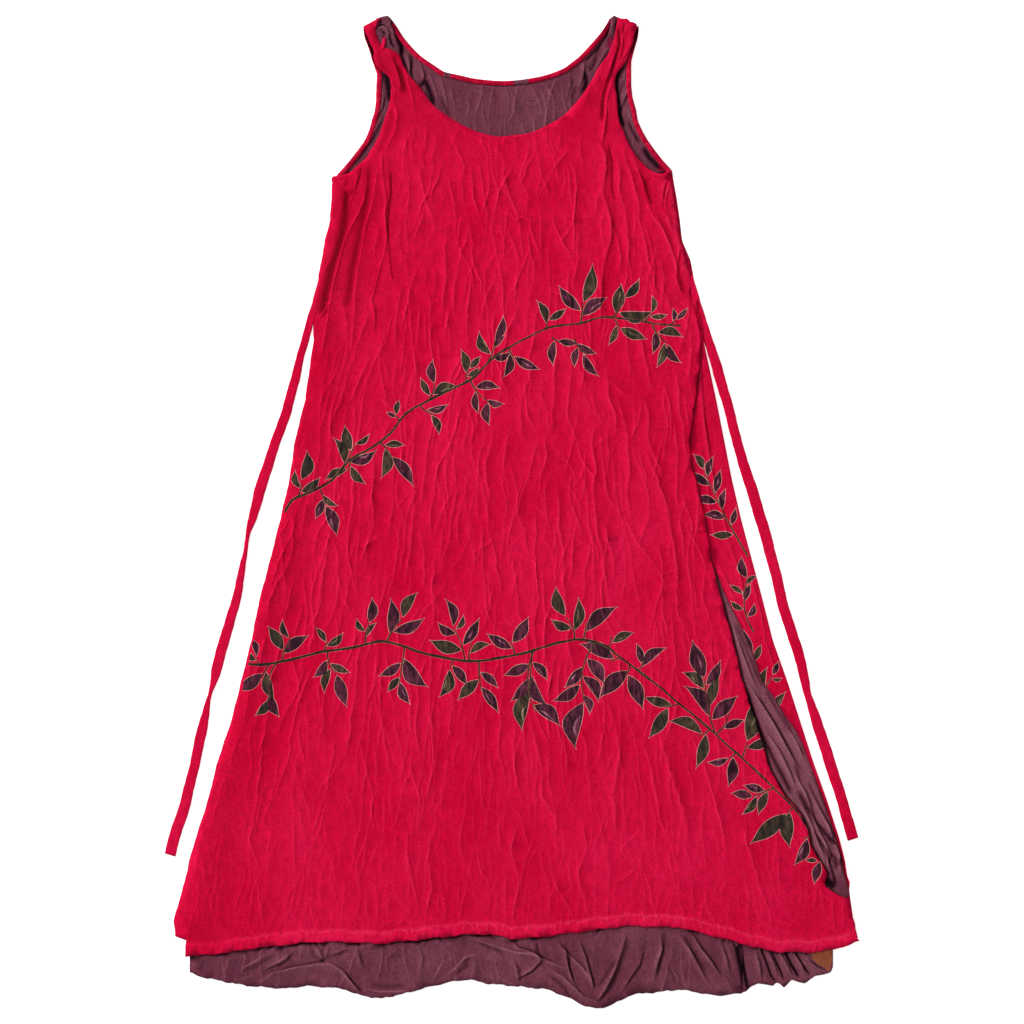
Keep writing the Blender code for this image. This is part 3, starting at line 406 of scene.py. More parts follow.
PLEAT_CREASES = (
    (-2.6, 2.0, 2.0, ((319, 1302), (322, 1320), (326, 1342), (330, 1364))),
    (4.0, 6, 3.2, ((338, 1300), (343, 1324), (348, 1350))),
    (-2.0, 1.5, 1.5, ((347, 1302), (355, 1322), (362, 1342), (369, 1352))),
    (4.4, 6, 3.2, ((354, 1304), (364, 1326), (374, 1348))),
    (-2.0, 1.4, 1.4, ((361, 1306), (372, 1328), (381, 1350))),
    (4.4, 6, 3.2, ((370, 1306), (382, 1328), (392, 1346))),
    (-2.2, 1.9, 1.9, ((380, 1306), (390, 1326), (402, 1346))),
    (4.4, 6, 3.2, ((390, 1308), (402, 1328), (412, 1346))),
    (-1.9, 1.3, 1.3, ((395, 1308), (407, 1328), (418, 1344))),
    (3.2, 6, 3.2, ((406, 1310), (418, 1326), (432, 1338))),
    (-1.1, 1.4, 1.4, ((412, 1320), (426, 1328), (440, 1336))),
)

# Patches of another colour, as closed outlines: the purple turning on either strap, the red cloth in
# the right armhole's corner, painted darker as shade, and the pleated corner's rust-brown inside.

LEFT_TURNING = ((-190.5, 15.5), (-188.5, 8), (-183.8, 5), (-183.4, 8.5), (-187, 13))
RIGHT_TURNING = ((134, 31), (142, 31), (140, 40), (137, 47), (133, 43))
ARMHOLE_CORNER = ((203, 216), (206, 206), (209.5, 196), (218, 203), (224, 211), (222, 217))
RUST_CORNER = ((413, 1300), (449, 1300), (447.5, 1322), (444, 1337), (436, 1331), (427, 1326),
               (420, 1318))

# Printed vines: the main stem's stations, then the sprigs, one row each: where it leaves the stem,
# where it ends, its number of leaves, their length, and the share of plum leaves.

UPPER_VINE = ((-318, 694), (-306, 676), (-286, 668), (-252, 650), (-228, 622), (-196, 604), (-170, 584),
              (-148, 556), (-116, 538), (-60, 510), (-38, 490), (-14, 470), (40, 441), (66, 434), (96, 430),
              (124, 422), (152, 424), (182, 427), (208, 432), (236, 434))
LOWER_VINE = ((-371, 906), (-350, 908), (-322, 903), (-296, 897), (-268, 890), (-240, 886), (-212, 881),
              (-184, 875), (-156, 880), (-128, 890), (-100, 897), (-72, 901), (-44, 902), (-16, 898),
              (12, 892), (40, 884), (66, 877), (90, 872), (112, 874), (132, 882), (152, 898), (180, 918),
              (208, 940), (236, 964), (264, 986), (286, 1006), (312, 1030), (342, 1056), (370, 1084),
              (392, 1106), (412, 1134), (430, 1170), (444, 1196))

UPPER_SPRIGS = (
    # x, level, tip_x, tip_level, leaves, leaf, plum
    (-300, 674, -288, 622, 5, 24, 0.3),
    (-268, 662, -252, 712, 4, 24, 0.6),
    (-240, 640, -204, 566, 8, 27, 0.4),
    (-226, 622, -238, 664, 3, 26, 0.2),
    (-186, 596, -146, 640, 6, 27, 0.6),
    (-158, 566, -170, 548, 2, 16, 0.2),
    (-118, 540, -98, 484, 8, 25, 0.3),
    (-128, 546, -86, 574, 3, 22, 0.6),
    (-64, 512, -54, 468, 4, 22, 0.4),
    (-58, 510, -14, 562, 7, 24, 0.6),
    (-34, 486, -14, 424, 8, 27, 0.4),
    (-6, 464, 20, 508, 3, 28, 0.8),
    (46, 440, 56, 402, 2, 28, 0.2),
    (56, 450, 86, 470, 4, 28, 0.9),
    (86, 452, 116, 500, 5, 27, 0.7),
    (96, 430, 104, 366, 4, 30, 0.4),
    (138, 424, 176, 366, 8, 29, 0.3),
    (144, 426, 162, 464, 3, 26, 0.3),
    (186, 428, 214, 398, 2, 24, 0.2),
    (196, 432, 236, 482, 8, 25, 0.6),
    (222, 434, 240, 412, 2, 18, 0.3),
)
LOWER_SPRIGS = (
    (-352, 908, -364, 880, 2, 24, 0.3),
    (-322, 903, -296, 836, 7, 28, 0.5),
    (-340, 908, -374, 962, 6, 28, 0.6),
    (-330, 906, -344, 990, 4, 28, 0.5),
    (-262, 889, -250, 850, 3, 20, 0.5),
    (-258, 889, -232, 952, 5, 28, 0.7),
    (-204, 880, -196, 826, 4, 20, 0.3),
    (-176, 876, -130, 808, 7, 34, 0.7),
    (-150, 882, -164, 978, 7, 34, 0.7),
    (-66, 901, -94, 820, 7, 30, 0.5),
    (-60, 901, -50, 836, 4, 32, 0.5),
    (-82, 900, -94, 934, 2, 24, 0.2),
    (-46, 902, -40, 984, 4, 32, 0.8),
    (4, 894, -14, 838, 3, 30, 0.3),
    (28, 888, 22, 980, 10, 30, 0.7),
    (30, 888, 34, 1012, 5, 30, 0.6),
    (88, 872, 60, 806, 6, 30, 0.2),
    (100, 872, 110, 804, 3, 38, 0.9),
    (116, 876, 92, 1000, 6, 34, 0.8),
    (134, 884, 146, 832, 3, 28, 0.3),
    (150, 898, 112, 912, 3, 34, 0.2),
    (164, 908, 150, 950, 3, 34, 0.2),
    (176, 916, 198, 874, 4, 26, 0.4),
    (232, 962, 184, 976, 3, 32, 0.8),
    (276, 998, 232, 1022, 4, 34, 0.2),
    (284, 1004, 262, 888, 14, 32, 0.5),
    (286, 1004, 324, 940, 5, 32, 0.6),
    (312, 1030, 284, 1056, 3, 34, 0.6),
    (322, 1036, 340, 980, 2, 40, 0.3),
    (366, 1080, 306, 1106, 8, 28, 0.7),
    (382, 1094, 396, 1050, 3, 28, 0.5),
    (392, 1108, 374, 1126, 2, 34, 0.3),
    (418, 1146, 386, 1160, 3, 34, 0.6),
    (434, 1178, 420, 1190, 2, 22, 0.3),
)
# The same columns, for the wrapped strip of the back panel, as seen from the front.
STRIP_SPRIGS = (
    (330, 756, 256, 612, 9, 34, 0.4),
    (338, 862, 326, 766, 6, 28, 0.5),
    (386, 1016, 328, 868, 10, 33, 0.4),
    (352, 950, 372, 906, 4, 24, 0.5),
)

# The back's vines, in the back panel's flat pattern, are guessed.
BACK_VINES = (
    ((-262, 700), (-180, 660), (-90, 600), (0, 560), (90, 566), (170, 600), (240, 650)),
    ((-356, 960), (-260, 930), (-150, 940), (-40, 980), (80, 960), (190, 900), (270, 850)),
)

# Ties: level, x of the middle, and width, which is small where the strip is twisted.

LEFT_TIE = (
    (402, -276, 7), (418, -280, 10), (436, -285, 11), (461, -291.5, 11), (482, -297.5, 11),
    (500, -301.5, 13), (552, -315, 14),
    (608, -335, 14), (664, -353, 16), (706, -364, 12), (726, -370, 6), (748, -373, 6), (776, -378, 10),
    (818, -386, 13), (874, -403, 15), (916, -414, 15), (937, -419, 8), (950, -423, 5), (972, -428, 10),
    (1000, -434, 15), (1056, -446, 14), (1112, -460, 16), (1150, -473, 16), (1174, -479, 16),
)
RIGHT_TIE = (
    (364, 249, 7), (386, 255, 10), (409, 260.5, 12), (433, 268, 12), (460, 277, 13),
    (496, 288, 15),
    (552, 304, 14), (608, 318, 14), (664, 336, 16), (720, 353, 16), (776, 368, 15), (832, 381, 15),
    (888, 400, 15), (930, 410, 13), (951, 414, 10), (986, 426, 15), (1042, 444, 16), (1098, 462, 15),
    (1130, 471, 16), (1152, 477, 16),
)


def across(table, key, column, value):
    return np.interp(value, table[key], table[column])


def ramp(value, start, end):
    share = np.clip((np.asarray(value, float) - start) / (end - start), 0.0, 1.0)
    return share * share * (3.0 - 2.0 * share)


def stations(low, high, step):
    count = max(1, round((high - low) / step))
    return [low + (high - low) * i / count for i in range(count + 1)]


def between(a, b, count):
    """Even stations from a to b, without a itself."""
    return [(a[0] + (b[0] - a[0]) * i / count, a[1] + (b[1] - a[1]) * i / count)
            for i in range(1, count + 1)]


def divided(path, step):
    """The same path with its stations about one step apart."""
    out = [path[0]]
    for a, b in zip(path, path[1:]):
        out += between(a, b, max(1, round(math.dist(a, b) / step)))
    return out


def offset_path(path, distances):
    """The path moved sideways, by one distance for each station: to +x where it runs down."""
    out = []
    for i, ((x, y), distance) in enumerate(zip(path, distances)):
        ax, ay = path[max(i - 1, 0)]
        bx, by = path[min(i + 1, len(path) - 1)]
        length = math.hypot(bx - ax, by - ay) or 1.0
        out.append((x + distance * (by - ay) / length, y - distance * (bx - ax) / length))
    return out


def parallel(path, distance):
    return offset_path(path, [distance] * len(path))


def table_points(table):
    return [(float(x), float(level)) for x, level in zip(table["x"], table["level"])]


def down(edge, low, high, step, inset=0.0):
    """Stations down an edge, an inset to its right."""
    return [(float(edge(level)) + inset, level) for level in stations(low, high, step)]


def along_hem(hem, left, right, step, below=0.0):
    """Stations across the dress beside a hem."""
    return [(x, float(hem(x)) + below) for x in stations(left, right, step)]


def front_left(level):
    return across(FRONT_SIDES, "level", "left", level)


def front_right(level):
    return across(FRONT_SIDES, "level", "right", level)


def back_left(level):
    return across(BACK_SIDES, "level", "left", level)


def back_right(level):
    return across(BACK_SIDES, "level", "right", level)


def wobble(value, size, length, seed):
    """A small smooth waver along an edge."""
    value = np.asarray(value, float)
    return size * (
        np.sin(value * 6.28 / length + seed)
        + 0.6 * np.sin(value * 6.28 / (length * 0.41) + 2.3 * seed)
        + 0.4 * np.sin(value * 6.28 / (length * 0.23) + 3.7 * seed)
    )


def outer_hem(x):
    return across(OUTER_HEM, "x", "level", x) + wobble(x, 0.8, 46, 1.0)


def inner_hem(x):
    return across(INNER_HEM, "x", "level", x) + wobble(x, 0.7, 33, 2.0)


def wrap_blend(level):
    """0 where the back ends at the side seam, 1 where it wraps round onto the front."""
    return ramp(level, 384, 412) * (1.0 - ramp(level, 1200, SLIT_FOOT))


def bend_start(level):
    """Where the back panel leaves the floor, in x."""
    blend = wrap_blend(level)
    return back_right(level) - FOLD_RADIUS * blend + (1.0 - blend)


def wrap_reach(level):
    """How far the wrapped strip reaches back over the front."""
    seam = np.maximum(back_right(level) - front_right(level) - 0.8, 0.0)
    return np.where(np.asarray(level) < SLIT_TOP, seam, across(WRAP, "level", "reach", level))


def strip_edge(level):
    return back_right(level) - wrap_reach(level)


def wrapped_edge(level):
    """The right edge of the back panel's flat pattern."""
    blend = wrap_blend(level)
    reach = wrap_reach(level)
    short = FOLD_RADIUS * (math.pi - np.arcsin(np.clip(1.0 - reach / FOLD_RADIUS, -1.0, 1.0)))
    long = FOLD_RADIUS * (math.pi - 1.0) + reach
    turned = np.where(reach < FOLD_RADIUS, short, long)
    return blend * (bend_start(level) + turned) + (1.0 - blend) * back_right(level)


def strip_pattern(points):
    """The places in the back panel's flat pattern of points on its wrapped strip."""
    out = []
    for x, level in points:
        start = float(bend_start(level))
        out.append((start + math.pi * FOLD_RADIUS + start - x, level))
    return out


def inner_right(level):
    return np.minimum(front_right(level) - 12.0, 322.0)


def top_lift(level):
    """The straps lie one layer higher, on the back's."""
    return LAYER * np.clip((SIDE_SEAM - np.asarray(level, float)) / 44.0, 0.0, 1.0)


# Creases in the cloth.


def nearest_on(path, x, level):
    """Each point's nearest place on a path.

    Distance, distance to the path's right as it runs down the dress, the two parts of the way to the
    right, the share of the path's length before that place, and that whole length.
    """
    away = np.full(len(x), 1e9)
    side, right_x, right_y, share = np.zeros((4, len(x)))
    lengths = [math.dist(a, b) for a, b in zip(path, path[1:])]
    whole = sum(lengths)
    done = 0.0
    for (ax, ay), (bx, by), length in zip(path, path[1:], lengths):
        dx, dy = (bx - ax) / length, (by - ay) / length
        along = np.clip((x - ax) * dx + (level - ay) * dy, 0.0, length)
        ox, oy = x - ax - along * dx, level - ay - along * dy
        far = np.hypot(ox, oy)
        closer = far < away
        away = np.where(closer, far, away)
        side = np.where(closer, ox * dy - oy * dx, side)
        right_x = np.where(closer, dy, right_x)
        right_y = np.where(closer, -dx, right_y)
        share = np.where(closer, (done + along) / whole, share)
        done += length
    return away, side, right_x, right_y, share, whole


def end_fade(share, whole, run, power):
    """1 along a crease, down to 0 at its ends over a run of its length."""
    return np.clip(np.minimum(share, 1.0 - share) * whole / run, 0.0, 1.0) ** power


def crease_relief(creases, x, level):
    """What creases do at each point: four columns, lift, shift in x and in level, and painted light and
    shade.

    A small crease is a narrow ridge. A large one is a fold that leans over to its steep side.
    It is above 0 for a painted highlight on a crest, below 0 for painted shade, below -1 for painted shadow
    in a gap.
    """
    out = np.zeros((len(x), 4))
    shades = np.zeros(len(x))
    for height, soft, steep, path in creases:
        trough = steep * 2.2
        reach = soft * 2.0 if height < 0 else soft + trough + steep
        xs, levels = zip(*path)
        near = (x > min(xs) - reach) & (x < max(xs) + reach)
        near &= (level > min(levels) - reach) & (level < max(levels) + reach)
        index = np.nonzero(near)[0]
        if not len(index):
            continue
        away, side, right_x, right_y, share, whole = nearest_on(path, x[index], level[index])
        if height < 0:
            # A gap between folds: it sinks, is painted dark as a shadow, and closes at both ends.
            gap = end_fade(share, whole, 9.0, 0.6) * np.exp(-((away / soft) ** 2))
            out[index, 0] += max(height, -1.5) * 0.6 * gap
            out[index, 3] += height * gap
            continue
        # 0 for a small crease, 1 for a fold: its left side rises softly to the crest, its right side
        # drops into a trough.
        fold = min(max((height - 1.7) / 1.5, 0.0), 1.0)
        crest = 1.05 + 0.75 * fold
        narrow = np.exp(-((away / crest) ** 2))
        left = (0.3 + 0.26 * fold) * np.clip(1.0 - away / soft, 0.0, 1.0) ** 1.6
        left = left + (0.7 - 0.26 * fold) * narrow
        ridge = 0.7 * narrow + 0.3 * np.clip(1.0 - away / (steep * 1.4), 0.0, 1.0)
        drop = 1.0 - 1.3 * (away / steep) ** 0.8
        rise = -0.3 * np.clip(1.0 - (away - steep) / trough, 0.0, 1.0)
        right = np.where(away < steep, drop, rise) * fold + ridge * (1.0 - fold)
        fade = end_fade(share, whole, 24.0, 0.8)
        fade = fade * (0.78 + 0.22 * np.sin(share * whole / 15.0 + path[0][0]))
        lean = height * 0.7 * fold * fade * np.exp(-((away / (crest * 1.4)) ** 2))
        shade = np.exp(-(((away - steep * 0.7) / (steep * 0.8)) ** 2)) * (side > 0)
        strength = fade * min(1.0, 0.35 + height / 2.0)
        out[index, 0] += height * fade * np.where(side > 0, right, left)
        out[index, 1] += lean * right_x
        out[index, 2] += lean * right_y
        # A painted highlight along the crest, and painted shade beside the steep side.
        out[index, 3] += strength * narrow
        shades[index] += strength * (0.34 + 0.26 * fold) * shade
    out[:, 3] = np.clip(out[:, 3] - np.minimum(shades, 0.65), -2.6, 1.0)
    return out


def crease_lines(creases, step):
    """Lines in the mesh along each crease: its crest and both its flanks."""
    lines = []
    for height, soft, steep, path in creases:
        dense = divided(path, step)
        if height < 0:
            offsets = [-soft * 1.7, -soft * 0.8, 0.0, soft * 0.8, soft * 1.7]
        elif height < 1.7:
            offsets = [-1.7, 0.0, 1.7]
        elif height < 2.5:
            offsets = [-soft * 0.9, -1.8, 0.0, steep * 0.5, steep, steep * 2.2]
        else:
            offsets = [-soft * 0.98, -soft * 0.5, -1.9, 0.0, steep * 0.5, steep, steep * 2.2]
        lines += [parallel(dense, offset) for offset in offsets]
    return lines


def wavered(creases, seed, size):
    """The same creases with their stations closer and slightly off the straight line."""
    rng = random.Random(seed)
    rows = []
    for height, soft, steep, path in creases:
        points = [path[0]]
        for a, b in zip(path, path[1:]):
            count = max(1, round(math.dist(a, b) / 11.0))
            for i, (x, level) in enumerate(between(a, b, count), 1):
                points.append((x + rng.gauss(0.0, size) * (i < count), level))
        rows.append((height, soft, steep, tuple(points)))
    return tuple(rows)


def twig(rng, x, level, heading, length, step=9.0):
    """A wavering line of one small crease; heading 0 runs down the dress."""
    points = [(x, level)]
    turn = heading
    for _ in range(max(2, round(length / step))):
        turn += rng.gauss(0.0, 0.15) - 0.3 * (turn - heading)
        x += math.sin(turn) * step
        level += math.cos(turn) * step
        points.append((x, level))
    return points


def twigs(seed, left, right, low, high, spacing, height, keep_clear=()):
    """Crinkle: small creases that run down between two side lines, many forked, a few aslant."""
    rng = random.Random(seed)
    band = 62.0
    most_shared = 0.34
    rows = []
    taken = set()

    def cells(path, size=5.0):
        found = set()
        for a, b in zip(path, path[1:]):
            for x, y in [a] + between(a, b, 4)[:-1]:
                found.add((int(x // size), int(y // size)))
        return found

    def add(path, size, soft, steep):
        own = cells(path)
        if len(own & taken) > most_shared * len(own):
            return False
        rows.append((size, soft, steep, tuple(path)))
        taken.update(own)
        return True

    for row in keep_clear:
        for i, j in cells(row[3]):
            taken.update(((i, j), (i + 1, j), (i - 1, j)))
    level = low
    while level < high:
        width = float(right(level) - left(level))
        for _ in range(max(1, round(width / spacing))):
            x = float(left(level)) + width * rng.random()
            start = level + rng.uniform(-20, 20)
            flare = 0.16 * (2.0 * (x - float(left(level))) / width - 1.0)
            heading = flare + rng.gauss(0.0, 0.09)
            length = rng.uniform(36, 150)
            # A few run aslant.
            if rng.random() < 0.09:
                heading = rng.choice((-1, 1)) * rng.uniform(0.6, 1.6)
                length = rng.uniform(22, 56)
            size = height * rng.uniform(0.4, 1.2)
            path = [p for p in twig(rng, x, start, heading, length) if low <= p[1] <= high]
            if len(path) < 3 or not add(path, size, rng.uniform(4.0, 8.0), rng.uniform(2.2, 3.4)):
                continue
            # About a third fork.
            if rng.random() < 0.32:
                base = path[rng.randrange(0, len(path) - 1)]
                way = rng.choice((-1, 1)) * rng.uniform(0.35, 0.9)
                if rng.random() < 0.5:
                    way += math.pi
                fork = twig(rng, base[0], base[1], heading + way, rng.uniform(18, 48))
                add(fork, size * 0.8, 4.0, 2.4)
        level += band
    return tuple(rows)


def swells(x, level, seed, size):
    """Broad soft rolls that run down the cloth."""
    rng = random.Random(seed)
    total = np.zeros(len(x))
    for _ in range(9):
        wide = rng.uniform(38, 110)
        tall = rng.uniform(380, 900)
        lean = rng.uniform(-0.10, 0.10)
        phase = rng.uniform(0, 6.28)
        fan = x * (1.0 - 0.32 * np.clip((level - 300.0) / 1000.0, -0.3, 1.0))
        total += np.sin((fan + lean * level) * 6.28 / wide + phase + np.sin(level * 6.28 / tall + phase))
    return size * total / 3.0


# Printed leaves: closed outlines in the flat pattern, each with a layer number that wins over
# lower ones and a material.

# Two leaves' middles are at least this share of their joint length apart.
LEAF_CLEAR = 0.262


def leaf_outline(base, tip, width, bend, shrink):
    """A leaf between two points, widest below its middle and drawn out to a tip, all drawn in."""
    bx, by = base
    dx, dy = tip[0] - bx, tip[1] - by
    length = math.hypot(dx, dy)
    dx, dy = dx / length, dy / length
    count = 9
    upper = []
    lower = []
    start = shrink * 1.5 / length
    for i in range(count + 1):
        t = start + (1.0 - 2.4 * start) * i / count
        half = width * math.sin(math.pi * t) ** 0.92 * (1.16 - 0.36 * t) * (1.0 - t**6)
        half = max(half - shrink, 0.0) if 0 < i < count else 0.0
        curve = bend * length * math.sin(math.pi * t)
        cx, cy = bx + dx * length * t - dy * curve, by + dy * length * t + dx * curve
        if half <= 0.05:
            if i in (0, count):
                upper.append((cx, cy))
            continue
        upper.append((cx - dy * half, cy + dx * half))
        lower.append((cx + dy * half, cy - dx * half))
    return upper + lower[::-1]


def stem_outline(path, half, step=7.0):
    """A stem that thins towards its end."""
    dense = divided(path, step)
    widths = [half * (1.0 - 0.45 * i / (len(dense) - 1)) for i in range(len(dense))]
    return offset_path(dense, [-width for width in widths]) + offset_path(dense, widths)[::-1]


def smooth_path(points, per=3):
    """The same path rounded by Catmull-Rom curves."""
    out = []
    for i in range(len(points) - 1):
        p0 = points[max(i - 1, 0)]
        p1, p2 = points[i], points[i + 1]
        p3 = points[min(i + 2, len(points) - 1)]
        for k in range(per):
            t = k / per
            out.append(tuple(
                0.5 * (2 * b + (c - a) * t + (2 * a - 5 * b + 4 * c - d) * t * t
                       + (3 * b - a - 3 * c + d) * t**3)
                for a, b, c, d in zip(p0, p1, p2, p3)
            ))
    out.append(points[-1])
    return out


def leaf_print(rng, base, tip, width, bend, plum):
    """A leaf with a pale outline and a dark border; about a third have a lighter streak."""
    fill = "leaf_plum" if plum else "leaf_olive"
    (bx, by), (tx, ty) = base, tip
    out = [
        (1, "print_line", leaf_outline(base, tip, width, bend, 0.0)),
        (2, "print_edge", leaf_outline(base, tip, width, bend, 0.6)),
        (3, fill, leaf_outline(base, tip, width, bend, 1.5)),
    ]
    if rng.random() < 0.35:
        low, high = rng.uniform(0.2, 0.4), rng.uniform(0.6, 0.8)
        inner = (bx + low * (tx - bx), by + low * (ty - by))
        outer = (bx + high * (tx - bx), by + high * (ty - by))
        out.append((4, fill + "_streak", leaf_outline(inner, outer, width * 0.13, bend + 0.06, 0.0)))
    return out


def sprig_print(rng, x, level, tip_x, tip_level, leaves, leaf, plum, others):
    """A curved side stem with leaves set alternately along it and one at its end."""
    out = []
    dx, dy = tip_x - x, tip_level - level
    length = math.hypot(dx, dy)
    stem = max(length - leaf * 0.8, length * 0.35)
    angle = math.atan2(dy, dx)
    sway = rng.uniform(-0.5, 0.5)

    def at(share):
        turn = angle + sway * (share - 1.0)
        return (x + math.cos(turn) * stem * share, level + math.sin(turn) * stem * share)

    path = [at(t) for t in (0.0, 0.25, 0.5, 0.75, 1.0)]
    out.append((5, "print_gilt", stem_outline(path, 1.35)))
    out.append((6, "print_stem", stem_outline(path, 1.1)))
    side = rng.choice((-1, 1))
    for i in range(leaves):
        last = i == leaves - 1
        share = 1.0 if last else 0.22 + 0.74 * (i + 0.5) / max(leaves - 1, 1)
        size = leaf * rng.uniform(0.74, 1.2) * (1.1 if last else 1.0 - 0.1 * share)
        bx, by = at(share)
        for attempt in range(5):
            turn = 0.0 if last and not attempt else side * rng.uniform(0.45, 1.05)
            heading = angle + turn + rng.uniform(-0.12, 0.12)
            centre = (bx + math.cos(heading) * size * 0.55, by + math.sin(heading) * size * 0.55)
            if all(math.dist(centre, spot) > LEAF_CLEAR * (size + far) for spot, far in others):
                break
            side = -side
            size *= 0.9
        else:
            continue
        others.append((centre, size))
        side = -side
        base = (bx + math.cos(heading) * 1.8, by + math.sin(heading) * 1.8)
        tip = (bx + math.cos(heading) * size, by + math.sin(heading) * size)
        width = size * rng.uniform(0.155, 0.205)
        out += leaf_print(rng, base, tip, width, rng.uniform(-0.18, 0.18), rng.random() < plum)
    return out


def vine_print(seed, stem, sprigs, grow):
    """A main stem of two strands with its sprigs, whose leaves grow by a factor."""
    rng = random.Random(seed)
    path = smooth_path(stem)
    out = [(5, "print_gilt", stem_outline(path, 1.9)), (6, "print_stem", stem_outline(path, 1.6))]
    strand = [(x + 1.2 * math.sin(level / 17.0 + i), level + 1.9 * math.sin(x / 13.0))
              for i, (x, level) in enumerate(path)]
    out.append((6, "print_stem", stem_outline(strand, 0.75)))
    others = []
    for x, level, tip_x, tip_level, leaves, leaf, plum in sprigs:
        out += sprig_print(rng, x, level, tip_x, tip_level, leaves, leaf * grow, plum, others)
    return out


def auto_sprigs(seed, stem, step, reach):
    """Sprigs on alternate sides of a stem, for the side that the photograph doesn't show."""
    rng = random.Random(seed)
    path = smooth_path(stem)
    rows = []
    side = 1
    done = 0.0
    for a, b in zip(path, path[1:]):
        length = math.dist(a, b)
        done += length
        if done < step:
            continue
        done = 0.0
        angle = math.atan2(b[1] - a[1], b[0] - a[0]) + side * rng.uniform(0.8, 1.3)
        side = -side
        far = reach * rng.uniform(0.6, 1.25)
        leaves = rng.randrange(4, 8)
        rows.append((a[0], a[1], a[0] + far * math.cos(angle), a[1] + far * math.sin(angle),
                     leaves, 29, 0.5))
    return rows


# Meshes.

RIM_CLEAR = 1.5


def inside(points, loop):
    """Whether each point is in a closed loop."""
    count = np.zeros(len(points), dtype=int)
    for (ax, ay), (bx, by) in zip(loop, loop[1:] + loop[:1]):
        if ay == by:
            continue
        crosses = (ay > points[:, 1]) != (by > points[:, 1])
        at = ax + (points[:, 1] - ay) * (bx - ax) / (by - ay)
        count += crosses & (at > points[:, 0])
    return count % 2 == 1


def near_cells(points, size):
    """The grid cells that hold a point, and all their neighbours."""
    cells = np.unique(np.floor(np.asarray(points) / size).astype(int), axis=0)
    around = []
    for i in (-1, 0, 1):
        for j in (-1, 0, 1):
            around.append(cells + (i, j))
    return set(map(tuple, np.unique(np.concatenate(around), axis=0)))


def dense_loop(points, step):
    out = []
    for a, b in zip(points, points[1:] + points[:1]):
        length = math.dist(a, b)
        if length >= 0.3:
            out += [a] + between(a, b, max(1, math.ceil(length / step)))[:-1]
    return out


def rounded_loop(left, right, neck, hem):
    """Left edge down, hem across, right edge up, neck back."""
    loop = []
    for part in (left, hem, right[::-1], neck[::-1]):
        for point in part:
            if not loop or math.dist(point, loop[-1]) > 1.0:
                loop.append((float(point[0]), float(point[1])))
    if math.dist(loop[0], loop[-1]) < 1.0:
        loop.pop()
    return loop


def clip_lines(lines, loop):
    """The runs of all lines that are inside the loop and clear of its rim."""
    rim = near_cells(loop, RIM_CLEAR)
    points = np.array([point for line in lines for point in line])
    good = inside(points, loop).tolist()
    cells = np.floor(points / RIM_CLEAR).astype(int).tolist()
    runs, at = [], 0
    for line in lines:
        run = []
        for point in line:
            if good[at] and tuple(cells[at]) not in rim:
                run.append(point)
            else:
                runs.append(run)
                run = []
            at += 1
        runs.append(run)
    return [run for run in runs if len(run) > 1]


def turned_area(loop):
    """Twice the loop's area, positive if it runs clockwise with the neck up."""
    return sum(a[0] * b[1] - b[0] * a[1] for a, b in zip(loop, loop[1:] + loop[:1]))


def triangulate(loop, lines, prints, step_x, step_y, clear):
    """Triangles of the flat pattern, with the layer and material of the print on each."""
    if turned_area(loop) > 0:
        loop = loop[::-1]
    points = list(loop)
    edges = []
    faces = [list(range(len(loop)))]
    kinds = [(0, None)]
    for run in clip_lines(lines, loop):
        first = len(points)
        points += run
        edges += [(first + i, first + i + 1) for i in range(len(run) - 1)]
    for layer, material, outline in prints:
        if turned_area(outline) > 0:
            outline = outline[::-1]
        first = len(points)
        points += outline
        faces.append(list(range(first, first + len(outline))))
        kinds.append((layer, material))
    taken = near_cells(points, clear)
    xs = [p[0] for p in loop]
    ys = [p[1] for p in loop]
    grid = []
    for row, y in enumerate(stations(min(ys), max(ys), step_y)):
        shift = step_x / 2 if row % 2 else 0.0
        for x in stations(min(xs), max(xs), step_x):
            grid.append((x + shift, y))
    grid = np.array(grid)
    grid = grid[inside(grid, loop)]
    cells = np.floor(grid / clear).astype(int)
    grid = [tuple(p) for p, c in zip(grid.tolist(), cells.tolist()) if tuple(c) not in taken]
    points += grid
    # The library wants y upwards and gives back triangles only, each with the faces it lies in.
    flipped = [(x, -level) for x, level in points]
    found = delaunay_2d_cdt(flipped, edges, faces, 1, 1e-3)
    flat = np.array([(p[0], -p[1]) for p in found[0]])
    triangles, materials = [], []
    for face, origins in zip(found[2], found[5]):
        # What a leaf has past the panel's edge is cut off.
        if 0 not in origins:
            continue
        a, b, c = (flat[i] for i in face[:3])
        if (b[0] - a[0]) * (c[1] - a[1]) - (b[1] - a[1]) * (c[0] - a[0]) > 0:
            face = face[::-1]
        triangles.append(list(face))
        materials.append(max(kinds[i] for i in origins)[1])
    return flat, triangles, materials


def build_mesh(name, points, faces, materials, names, flat=None, painted_light_and_shade=None):
    """An object from points in millimetres, with a material's name for each face."""
    mesh = bpy.data.meshes.new(name)
    mesh.from_pydata((np.asarray(points) * MM).tolist(), [], faces)
    for material in names:
        mesh.materials.append(MATERIALS[material])
    index = {material: i for i, material in enumerate(names)}
    mesh.polygons.foreach_set("material_index", [index[m] for m in materials])
    mesh.polygons.foreach_set("use_smooth", [True] * len(faces))
    if flat is not None:
        layer = mesh.uv_layers.new(name="cloth")
        corners = np.empty(len(mesh.loops), dtype=np.int32)
        mesh.loops.foreach_get("vertex_index", corners)
        layer.data.foreach_set("uv", (np.asarray(flat)[corners] * MM).ravel())
    # Painted light and shade per point, which the material turns into highlights, shade and gap shadows.
    if painted_light_and_shade is not None:
        attribute = mesh.attributes.new("painted_light_and_shade", "FLOAT", "POINT")
        attribute.data.foreach_set("value", painted_light_and_shade)
    mesh.update()
    mesh.validate()
    made = bpy.data.objects.new(name, mesh)
    bpy.context.scene.collection.objects.link(made)
    return made


